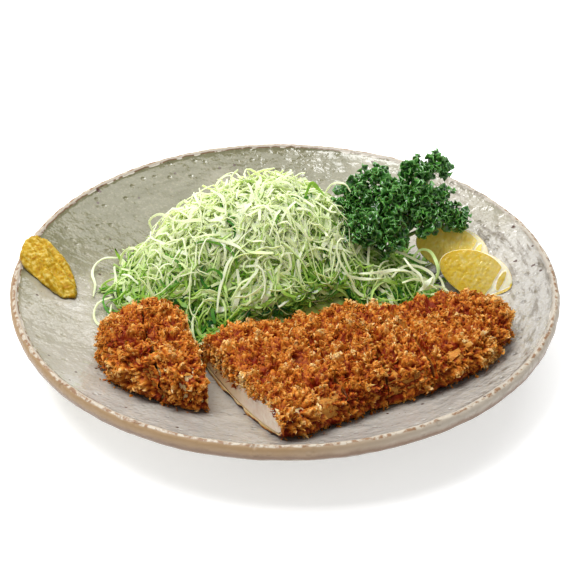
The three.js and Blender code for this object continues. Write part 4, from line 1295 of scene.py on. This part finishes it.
def strands(rng, pile, count, steps, tint, widths=(0.8, 2.0), thicknesses=(0.2, 0.35),
            twist=1.2, roll=0.8, **shape):
    """Adds scattered strands, without those that leave the heap or lie on other food."""
    points, normals = strand_paths(rng, count, steps, **shape)
    kept = clear_of_lemons(points)
    limit = np.where(points[..., 0] > 30, 1.22, 1.12)
    kept &= (heap_share(*plan(points)) < limit).all(1)
    kept &= (np.hypot(*plan(points)) < STRAND_LIMIT).all(1)
    lying = over_cutlet(*plan(points)).sum(1)
    kept &= lying <= rng.integers(0, 2, len(points))
    points, normals = points[kept], normals[kept]
    count = len(points)
    tangent = unit(np.gradient(points, axis=1))
    side = unit(np.cross(normals, tangent))
    up = np.cross(tangent, side)
    along = np.linspace(0, 1, steps)
    turn = rng.uniform(-roll, roll, (count, 1)) + rng.normal(0, twist, (count, 1)) * along
    turn = turn[..., None]
    turned = side * np.cos(turn) + up * np.sin(turn)
    raised = up * np.cos(turn) - side * np.sin(turn)
    taper = 0.45 + 0.55 * np.sin(np.pi * clip(along, 0.03, 0.97)) ** 0.6
    width = rng.uniform(*widths, (count, 1)) * taper
    width = width * (1 + 0.3 * np.sin(rng.uniform(2, 12, (count, 1)) * along
                                      + rng.uniform(0, 6, (count, 1))))
    thick = rng.uniform(*thicknesses, (count, 1)) * np.ones((1, steps))
    solid, quads = ribbons(points, turned, raised, width, thick)
    base = rng.uniform(*tint, (count, 1)) + rng.normal(0, 0.12, (count, 1)) * (along - 0.5)
    # Painted shade and light: lower strands greener and darker, strands in the hollows darker than
    # those on the tufts, and the left flank paler where the light falls.
    base = base + LOW_SHADE_TINT * clip(1 - points[..., 2] / HEAP_TOP) ** 1.4
    base = base - 0.14 * clip((-20 - points[..., 0]) / 40)
    base = base - 0.04 * heap_lumps(*plan(points))
    pile.add(solid, quads, tint=np.repeat(base.ravel(), 4))


# Strands with a place of their own: tint, width and points on their middle line.
PLACED_STRANDS = [
    (0.0, 1.5, [(-80, 29, 24), (-86, 27, 25), (-90, 23, 24), (-91, 17, 22.5), (-89, 10, 21),
                (-89, 1, 20.6)]),
    (0.1, 1.4, [(-80, 0, 21), (-86, -6, 21.5), (-87, -15, 21), (-84, -21, 20), (-80.5, -14, 19.5),
                (-80, -5, 20)]),
    (0.75, 1.2, [(-74, 3, 21), (-81, 3.5, 22), (-84, -3, 21.5), (-81, -11, 20), (-76, -14, 20)]),
    (-0.3, 2.5, [(-21.5, -12, 44), (-20.5, -16.5, 37), (-22, -20.5, 31), (-24, -21.5, 27)]),
    (-0.3, 2.6, [(-7.5, -13, 46), (-6, -16.5, 40), (-8.5, -20, 34), (-11, -21, 30)]),
    (-0.3, 2.8, [(-34, -19, 24), (-29, -20, 27.5), (-24, -20.5, 28)]),
    (-0.1, 1.4, [(6.8, 0, 60), (9.5, -4, 54), (6, -10, 47), (7.5, -15, 38.5)]),
    (0.0, 1.5, [(-12, -3.5, 60), (-10.5, -8.5, 53), (-13, -12.5, 46.5), (-12, -16, 40)]),
    (-0.2, 1.7, [(-39, 0, 50), (-31, -3.5, 54), (-21, -7.5, 53), (-15.5, -11, 48)]),
    (0.72, 1.3, [(-55, 6, 41), (-48, -2, 40), (-48, -7, 34), (-54, -7, 31), (-58, -2, 33)]),
    (0.75, 1.4, [(-38, -9, 38), (-32.5, -10.5, 43), (-28, -13, 40), (-31, -15, 34)]),
    (0.7, 1.3, [(-41, 2, 49), (-34, -3, 53), (-25, -7, 51.5), (-21, -11, 46)]),
    (-0.1, 1.6, [(-62, 25, 41), (-63.5, 26, 46.5), (-58.5, 26, 50), (-54, 26, 47), (-53, 23, 41)]),
    (-0.2, 1.6, [(-12, 16, 66), (-8.5, 16, 71.5), (-2.5, 16, 73.2), (3, 16, 71), (5, 14, 66)]),
    (-0.1, 1.2, [(17, 18, 58), (19, 20, 66), (22.5, 20, 70), (27.5, 20, 69.5), (30, 19, 66)]),
    (0.05, 1.6, [(-52, 27, 47), (-50, 28, 53.5), (-46, 28, 55.5), (-41, 27, 52)]),
    (0.0, 1.5, [(-33, 23, 56), (-27.5, 24, 64.5), (-23.5, 24, 65), (-20.5, 23, 59)]),
    (0.1, 1.7, [(-78, 20, 26), (-76, 20, 32.5), (-71, 20, 35), (-67, 19, 31)]),
    (0.55, 2.2, [(9, 15, 65), (11.8, 16.5, 72), (14.8, 16.5, 69.5), (18, 16, 66)]),
    (-0.1, 1.6, [(52, 6, 33), (58, 2, 33), (64, 1, 30), (69, 5, 26), (68, 11, 24)]),
    (0.0, 1.5, [(46, 14, 39), (54, 10, 38.5), (62, 10, 34), (66, 15, 30), (62, 19, 29)]),
    (-0.2, 1.8, [(34, -2, 35), (42, -4, 37), (50, -2, 37), (58, 1, 34)]),
    (0.05, 1.6, [(24, -3, 38), (30, -6, 36), (38, -5, 34), (46, -1, 32)]),
    (0.35, 1.8, [(59, 12, 34), (63, 14.5, 37.5), (67.5, 13, 37.5), (70, 6.5, 35.5),
                 (70.5, 2.5, 32.5), (68.5, -0.5, 29.5)]),
    (0.1, 1.6, [(64.5, -6, 29), (69.5, -3.5, 29), (74, -2.5, 26.5), (77, -5, 24)]),
    (0.3, 1.8, [(66.5, -7.5, 27), (71.5, -6, 27.5), (75.5, -5.5, 25.5), (78, -8, 24)]),
    (0.0, 1.5, [(69.5, 2.5, 32), (72, 1, 29.5), (73, -1.5, 26.5), (71.5, -7, 25)]),
    (0.0, 1.6, [(49, -2, 33), (52.5, 0.5, 36), (57.5, 2, 37), (63.5, 1, 36), (68, -1, 33),
                (66.5, -5, 30), (61, -7, 29)]),
    (-0.3, 2.6, [(61.5, -8.5, 30), (64.5, -6, 32), (67.5, -2, 33)]),
    (0.1, 1.5, [(53.5, -5, 32), (59, -5, 34), (65, -5, 32), (69.5, -5.5, 29)]),
    (-0.1, 1.5, [(54.5, 3.5, 40), (58, -2, 38), (61.5, -4.5, 36), (63, -7.5, 33)]),
]


def placed_strands(pile):
    """Adds the strands that have a place of their own."""
    for tint, width, corners in PLACED_STRANDS:
        line = smooth_line(corners, 4)
        steps = len(line)
        tangent = unit(np.gradient(line, axis=0))
        side = unit(np.cross(np.array([0.1, -0.55, 0.83]), tangent))
        side = unit(side + 0.9 * np.sin(np.linspace(-0.6, 5.4, steps))[:, None]
                    * np.cross(tangent, side))
        up = np.cross(tangent, side)
        along = np.linspace(0.05, 0.95, steps)
        widths = width * (0.3 + 0.5 * np.sin(np.pi * along) ** 0.8
                          + 0.12 * np.sin(9 * along + width))
        solid, quads = ribbons(line[None], side[None], up[None], widths[None],
                               np.full((1, steps), 0.4))
        pile.add(solid, quads, tint=tint)


def cabbage_leaf(name, shade=1.0, thin=True):
    """Leaf creamy white where tint is 0, through yellow-green to dark green at 1; a shade below 1
    darkens it all as painted shade.
    """
    finish = Finish(name, Roughness=0.4, Specular_IOR_Level=0.35)
    tint = finish.value("tint") + (finish.noise(4.0, 3.0) - 0.5) * 0.3
    stops = [(0.0, (0.99, 0.99, 0.94)), (0.25, (0.91, 0.95, 0.68)), (0.5, (0.52, 0.75, 0.12)),
             (0.78, (0.1, 0.38, 0.03)), (1.0, (0.02, 0.16, 0.03))]
    stops = [(at, tuple(shade * level for level in colour)) for at, colour in stops]
    leaf = tint.ramp(*stops)
    finish.colour(leaf)
    if thin:
        finish.translucent(finish.mix(1.0, leaf, (0.92, 1.0, 0.55), "MULTIPLY"), 0.5)
    finish.bump(finish.noise(0.9, 2.0), 0.08, 0.5)
    return finish.material


# The scattered strands: each piece with its material and what strands() takes for each kind
SHREDS = {
    "cabbage_shreds": ("cabbage_pale", [
        dict(count=2250, steps=8, tint=(-0.1, 0.34), roll=1.0, length=(14, 38),
             radius=(5, 32), layer=(-2.4, 1.0), tilt=0.25)]),
    "cabbage_foot": ("cabbage_lower", [
        dict(count=640, steps=9, tint=(0.1, 0.5), roll=1.0, length=(9, 26),
             radius=(3, 18), layer=(-2.0, 1.8), tilt=0.3, zone="front"),
        dict(count=520, steps=9, tint=(0.0, 0.4), roll=1.0, length=(8, 22),
             radius=(3, 18), layer=(-0.5, 4.0), tilt=0.3, zone="behind"),
        dict(count=150, steps=9, tint=(-0.1, 0.25), roll=1.0, length=(9, 24),
             radius=(3, 14), layer=(0.0, 5.0), tilt=0.3, zone="end")]),
    "cabbage_curls": ("cabbage_curly", [
        dict(count=640, steps=13, tint=(-0.24, 0.18), widths=(0.6, 1.6), roll=0.9,
             length=(16, 42), radius=(4, 26), layer=(1.4, 4.2), tilt=0.5, reach=0.98,
             loose=0.8)]),
    "cabbage_ribs": ("cabbage_white", [
        dict(count=210, steps=9, tint=(-0.35, 0.0), widths=(1.4, 2.7), thicknesses=(0.4, 0.7),
             twist=0.8, length=(8, 24), radius=(14, 80), layer=(0.8, 3.2))]),
    "cabbage_greens": ("cabbage_green", [
        dict(count=110, steps=11, tint=(0.55, 0.8), widths=(0.6, 1.4),
             thicknesses=(0.25, 0.4), length=(10, 26), radius=(3, 12), layer=(0.0, 2.2)),
        dict(count=240, steps=9, tint=(0.5, 0.8), thicknesses=(0.25, 0.4), length=(6, 18),
             radius=(3, 10), layer=(-0.5, 2.0), zone="front")]),
}


def build_cabbage():
    rng = np.random.default_rng(12)
    build_heap_core()
    for name, (leaf, kinds) in SHREDS.items():
        pile = Pile()
        for kind in kinds:
            strands(rng, pile, **kind)
        if name == "cabbage_curls":
            placed_strands(pile)
        pile.build(name, cabbage_leaf(leaf), ["cabbage"], sharp_angle=50)


# -------- parsley

LEAFLET_RINGS = 3
LEAFLET_SIDES = 12
LEAFLET_THICKNESS = 0.14
LEAFLETS = 74  # in a head of size 1


def leaflets(rng, centres, outwards, sizes):
    """Curled leaflets: thin ruffled discs, both faces alike."""
    count = len(centres)
    spin = unit(rng.normal(size=(count, 3)))
    side = unit(np.cross(outwards, spin))
    up = np.cross(outwards, side)
    angle = full_turn(LEAFLET_SIDES)
    ring = np.arange(1, LEAFLET_RINGS + 1) / LEAFLET_RINGS
    waves = rng.integers(3, 6, count)[:, None, None]
    phase = rng.uniform(0, 6, count)[:, None, None]
    angle, ring = angle[None, None], ring[None, :, None]
    lobes = 1 + 0.16 * np.cos(3 * angle + phase) + 0.1 * np.cos(9 * angle + 2 * phase) * ring
    reach = ring * lobes
    ruffle = 0.5 * ring ** 1.5 * np.sin(waves * angle + phase)
    ruffle = ruffle + 0.15 * ring ** 2 * np.sin(8 * angle + 3 * phase)
    cup = rng.uniform(-0.5, 0.25, count)[:, None, None] * ring ** 2
    size = sizes[:, None, None, None]

    def spread(flat_a, flat_b, height):
        return (centres[:, None, None] + size * (flat_a[..., None] * outwards[:, None, None]
                                                 + flat_b[..., None] * side[:, None, None]
                                                 + height[..., None] * up[:, None, None]))

    faces = []
    for offset in (LEAFLET_THICKNESS / 2, -LEAFLET_THICKNESS / 2):
        body = spread(reach * np.cos(angle) + 0.35, reach * np.sin(angle), ruffle + cup + offset)
        level = np.ones((count, 1, LEAFLET_SIDES))
        faces.append(np.concatenate([spread(0.35 * level, 0 * level, offset * level), body], 1))
    rows = np.concatenate([faces[0], faces[1][:, ::-1]], 1)
    steps = rows.shape[1]
    quads = repeated(grid_quads(steps, LEAFLET_SIDES), count, steps * LEAFLET_SIDES)
    edge = np.concatenate([[0], ring.ravel()])
    edge = np.repeat(np.concatenate([edge, edge[::-1]]), LEAFLET_SIDES)
    return rows.reshape(-1, 3), quads, np.tile(edge, count)


def stem(start, end, radius, bow):
    """A tapering tube between two points."""
    steps, sides = 10, 8
    start, end = np.array(start, float), np.array(end, float)
    along = np.linspace(0, 1, steps)[:, None]
    line = start + (end - start) * along + np.array(bow) * np.sin(np.pi * along)
    tangent = unit(np.gradient(line, axis=0))
    side = unit(np.cross(tangent, [0.1, 1, 0.2]))
    up = np.cross(tangent, side)
    angle = full_turn(sides)
    thick = radius * (1 - 0.35 * along)[..., None]
    ring = line[:, None] + thick * (np.cos(angle)[None, :, None] * side[:, None]
                                    + np.sin(angle)[None, :, None] * up[:, None])
    ring = np.concatenate([np.repeat(line[:1, None], sides, 1), ring,
                           np.repeat(line[-1:, None], sides, 1)])
    return ring, grid_quads(steps + 2, sides)


def build_parsley():
    rng = np.random.default_rng(5)
    pile = Pile()
    for x, y, z, size in PARSLEY_HEADS:
        count = int(LEAFLETS * size ** 2)
        outward = unit(rng.normal(size=(count, 3)) + np.array([0, -0.25, 0.2]))
        radius = PARSLEY_LUMP * size * rng.uniform(0.35, 0.88, (count, 1))
        centres = np.array([x, y, z]) + outward * radius
        above = heap_top(centres[:, 0], centres[:, 1]) + 1.5
        centres[:, 2] = np.maximum(centres[:, 2], above)
        solid, quads, edge = leaflets(rng, centres, outward, rng.uniform(1.6, 2.8, count))
        pile.add(solid, quads, edge=edge)
        ring, quads = stem(PARSLEY_ROOT, (x, y, z), 1.0, (0, -1.5, 2))
        pile.add(ring, quads, edge=-0.5)
    pile.build("parsley_sprigs", parsley_leaf(), ["parsley"], weld=True)


def parsley_leaf():
    finish = Finish("curly_parsley", Roughness=0.22, Specular_IOR_Level=0.8,
                    Subsurface_Weight=0.08, Subsurface_Scale=0.001)
    edge = finish.value("edge") + (finish.noise(5.0, 3.0) - 0.5) * 0.7
    # Pale stalks and leaflet middles, dark green blades, lighter curled edges: a paler leaf
    # margin, made lighter still as painted highlight.
    finish.colour(edge.ramp((0.0, (0.18, 0.32, 0.07)), (0.15, (0.012, 0.065, 0.008)),
                            (0.6, (0.025, 0.12, 0.014)), (1.0, (0.09, 0.28, 0.04))))
    finish.bump(finish.noise(0.8, 2.0), 0.15, 0.5)
    return finish.material


# -------- lemon

def build_lemon(name, lemon, yellows):
    centre = np.array(lemon["at"], float)
    normal = unit(np.array(lemon["face"], float))
    lengthwise = np.array(lemon["long"], float)
    lengthwise = unit(lengthwise - (lengthwise @ normal) * normal)
    crosswise = np.cross(normal, lengthwise)
    sides = 144
    angle = full_turn(sides)
    half_width = LEMON_HALF_WIDTH * (1 + LEMON_FULLNESS * np.cos(angle))
    rows, zones = [], []
    # The outline is a little fuller at its lower right.
    corner = 1 + 0.06 * np.exp(-((np.angle(np.exp(1j * (angle + 0.45))) / 0.35) ** 2))

    def ring(scale, depth):
        scale = scale * corner
        return (centre + np.outer(scale * LEMON_HALF_LENGTH * np.cos(angle), lengthwise)
                + np.outer(scale * half_width * np.sin(angle), crosswise)
                - np.outer(depth * np.ones(sides), normal))

    # On the cut face a and b run from -1 to 1 along and across it: a big segment of flesh,
    # a sliver of the next one, pith, and rind along the lower right edge.
    for scale in [1e-3, *np.linspace(0.03, 0.985, 40)]:
        a, b = scale * np.cos(angle), scale * np.sin(angle)
        flesh = clip((1 - np.hypot((a + 0.1) / 0.895, b / 0.985)) / 0.03)
        flesh = np.minimum(flesh, clip((0.53 + 0.12 * b - a) / 0.04))
        sliver = clip((1 - np.hypot((a - 0.67 - 0.08 * b) / 0.085, (b - 0.12) / 0.45)) / 0.2)
        flesh = np.maximum(flesh, sliver)
        edge = clip((scale - 0.925) / 0.03) * clip((0.25 - b) / 0.2)
        rind = edge * clip((a - 0.1) / 0.2)
        crown = 0.7 * (1 - scale ** 2) - 0.25
        sacs = 0.16 * noise(a * 17 + 5, b * 5, 2.0) + 0.12 * noise(a * 38, b * 12, 7.0)
        membrane = 0.35 * clip(1 - np.abs(flesh - 0.5) / 0.5)
        rows.append(ring(scale, -(crown + flesh * (0.2 + sacs) + membrane)))
        zones.append(flesh - rind)
    # The rind goes round from the edge of the cut face to the wedge's back.
    for turn in np.radians([0, 3, 8, 14, 22, 31, 41, 51, 61, 70, 79, 86, 89.9]):
        dimple = 0.16 * noise(np.cos(angle) * 26 + 9, np.sin(angle) * 26, turn * 22)
        rows.append(ring(np.cos(turn), np.sin(turn) * (LEMON_DEPTH + dimple) + 0.3))
        zones.append(np.full(sides, -1.0))
    rows = with_poles(rows)
    floor = support(*plan(rows)) + 0.3
    rows[..., 2] = np.maximum(rows[..., 2], floor)
    pile = Pile()
    pile.add(rows, grid_quads(len(rows), sides), zone=np.array(zones))
    pile.build(f"{name}_wedge", lemon_skin(name, yellows), [name], weld=True)


def lemon_skin(name, yellows):
    """Flesh where zone is 1, pith at 0 and rind at -1."""
    finish = Finish(f"{name}_surface", Roughness=0.22, Subsurface_Weight=0.4,
                    Subsurface_Scale=0.004, Subsurface_Radius=(1.0, 0.7, 0.2))
    # Deeper yellow at the left end, paler and duller toward the right.
    rightward = finish.axes()[0] * 22.0 + -1.75
    sacs = finish.noise(2.0, 4.0) + rightward * 0.45
    flesh = sacs.ramp(*zip((0.3, 0.5, 0.75), yellows))
    pith = finish.noise(3.0, 3.0).ramp((0.3, (0.78, 0.72, 0.5)), (0.7, (0.86, 0.83, 0.66)))
    rind = finish.noise(1.6, 2.0).ramp((0.3, (0.66, 0.44, 0.03)), (0.7, (0.8, 0.58, 0.07)))
    zone = finish.value("zone")
    outside = finish.mix((zone * -1.0).ramp((0.3, 0.0), (0.6, 1.0)), pith, rind)
    finish.colour(finish.mix(zone.ramp((0.3, 0.0), (0.7, 1.0)), outside, flesh))
    finish.bump(finish.noise(1.1, 3.0), 0.3, 0.5)
    return finish.material


# -------- mustard

def build_mustard():
    sides = 170
    outline = closed_outline(MUSTARD_OUTLINE, sides)
    middle = closed_outline(MUSTARD_OUTLINE, 24).mean(0)
    around = full_turn(sides)
    ragged = 1 + 0.05 * noise(2.4 * np.cos(around), 2.4 * np.sin(around), 1.5)
    ragged += 0.035 * noise(9 * np.cos(around), 9 * np.sin(around), 4.5)
    outline = middle + (outline - middle) * ragged[:, None]

    def under(x, y):
        return plate_top(x, y) + REST + 0.4 * np.maximum(0, np.hypot(x, y) - 119)

    rows = []
    for scale in (0.02, 0.5, 0.94):
        x, y = (middle + scale * (outline - middle)).T
        rows.append(np.stack([x, y, under(x, y)], 1))
    for scale in [*np.linspace(1, 0.9, 6), *np.linspace(0.88, 0.03, 44)]:
        x, y = (middle + scale * (outline - middle)).T
        rise = MUSTARD_HEIGHT * 0.9 * math.sqrt(max(0, 1 - scale ** 3.2))
        across = 0.83 * (x - middle[0]) + 0.55 * (y - middle[1])
        along = 0.83 * (y - middle[1]) - 0.55 * (x - middle[0])
        calm = 1 - scale ** 4
        ridges = MUSTARD_RIDGE * np.sin(across * 0.9 + 0.8 * np.sin(along / 6)) * calm
        smear = 1.2 * noise(across / 1.9, along / 7, 4.0) * min(1, 4 * calm)
        smear = smear + 0.9 * noise(across / 4.2, along / 4.5, 9.0) * min(1, 4 * calm)
        grain = 0.42 * noise(x / 0.8, y / 0.8, 1.0) * min(1, 6 * calm + 0.3)
        rows.append(np.stack([x, y, under(x, y) + 0.4 + rise + ridges + smear + grain], 1))
    pile = Pile()
    pile.add(with_poles(rows), grid_quads(len(rows), sides))
    pile.build("mustard_smear", mustard(), ["mustard"], weld=True)


def mustard():
    finish = Finish("grainy_mustard", Roughness=0.5, Specular_IOR_Level=0.15,
                    Subsurface_Weight=0.15, Subsurface_Scale=0.0015,
                    Subsurface_Radius=(1.0, 0.6, 0.1))
    finish.colour(finish.noise(2.2, 4.0).ramp((0.3, (0.31, 0.14, 0.002)),
                                              (0.5, (0.4, 0.245, 0.006)),
                                              (0.68, (0.56, 0.43, 0.11))))
    finish.bump(finish.noise(0.7, 3.0), 0.25, 0.6)
    return finish.material


# -------- stage, light and camera

PHOTO_WIDTH = 570
FOCAL_LENGTH = 1518.91  # of the photo's camera, in pixels
SENSOR_WIDTH = 36.0
CAMERA_PLACE = (0, -0.584, 0.4137)
CAMERA_TILT = 56.526  # degrees up from straight down
FLOOR_HALF = 3.0  # metres
LIT_POINT = (0, 0, 0.02)
LIGHTS = [  # name, place in metres, size, power in watts
    ("window", (0.12, 0.65, 1.22), (1.5, 0.8), 9.5),
    ("low_window", (0.0, 1.15, 0.55), (1.2, 0.12), 1.3),
    ("key", (-0.35, 0.0, 1.05), (0.6, 0.6), 13.0),
]
WORLD_STRENGTH = 0.48
WHITE = (1, 1, 1, 1)


def build_stage():
    """A plain floor under the plate."""
    mesh = bpy.data.meshes.new("floor")
    corners = [(sx * FLOOR_HALF, sy * FLOOR_HALF, 0)
               for sx, sy in ((-1, -1), (1, -1), (1, 1), (-1, 1))]
    mesh.from_pydata(corners, [], [(0, 1, 2, 3)])
    finish = Finish("floor_white", Roughness=0.7, Emission_Strength=0.4, Emission_Color=WHITE)
    finish.colour((0.92, 0.92, 0.92))
    mesh.materials.append(finish.material)
    floor = bpy.data.objects.new("floor", mesh)
    bpy.context.scene.collection.objects.link(floor)


def build_light():
    for name, place, size, power in LIGHTS:
        data = bpy.data.lights.new(name, "AREA")
        data.shape = "RECTANGLE"
        data.size, data.size_y = size
        data.energy = power
        light = bpy.data.objects.new(name, data)
        light.location = place
        direction = Vector(LIT_POINT) - Vector(place)
        light.rotation_euler = direction.to_track_quat("-Z", "Y").to_euler()
        bpy.context.scene.collection.objects.link(light)
    world = bpy.data.worlds.new("soft_white")
    world.use_nodes = True
    background = world.node_tree.nodes["Background"].inputs
    background[0].default_value, background[1].default_value = WHITE, WORLD_STRENGTH
    bpy.context.scene.world = world
    bpy.context.scene.view_settings.view_transform = "Standard"


def build_camera():
    data = bpy.data.cameras.new("camera")
    data.sensor_width = SENSOR_WIDTH
    data.lens = SENSOR_WIDTH * FOCAL_LENGTH / PHOTO_WIDTH
    camera = bpy.data.objects.new("camera", data)
    camera.location = CAMERA_PLACE
    camera.rotation_euler = (math.radians(CAMERA_TILT), 0, 0)
    bpy.context.scene.collection.objects.link(camera)
    bpy.context.scene.camera = camera


# -------- the whole plate

build_camera()
build_light()
build_stage()
build_plate()
crust_material, pork_material = breading(), pork()
for number, (slice_name, body_name, left_cut, right_cut) in enumerate(SLICES):
    build_crust(slice_name, body_name, (left_cut, right_cut), crust_material,
                np.random.default_rng(100 + number))
    build_pork(slice_name, body_name, (left_cut, right_cut), pork_material)
build_cabbage()
build_parsley()
build_lemon("lemon_front", LEMON_FRONT,
            [(0.56, 0.36, 0.01), (0.58, 0.41, 0.03), (0.61, 0.48, 0.13)])
# The back wedge gets paler, brighter yellows than the front one: painted light that lifts the
# shadow the parsley casts on it.
build_lemon("lemon_back", LEMON_BACK,
            [(0.88, 0.68, 0.1), (0.9, 0.74, 0.16), (0.92, 0.8, 0.3)])
build_mustard()
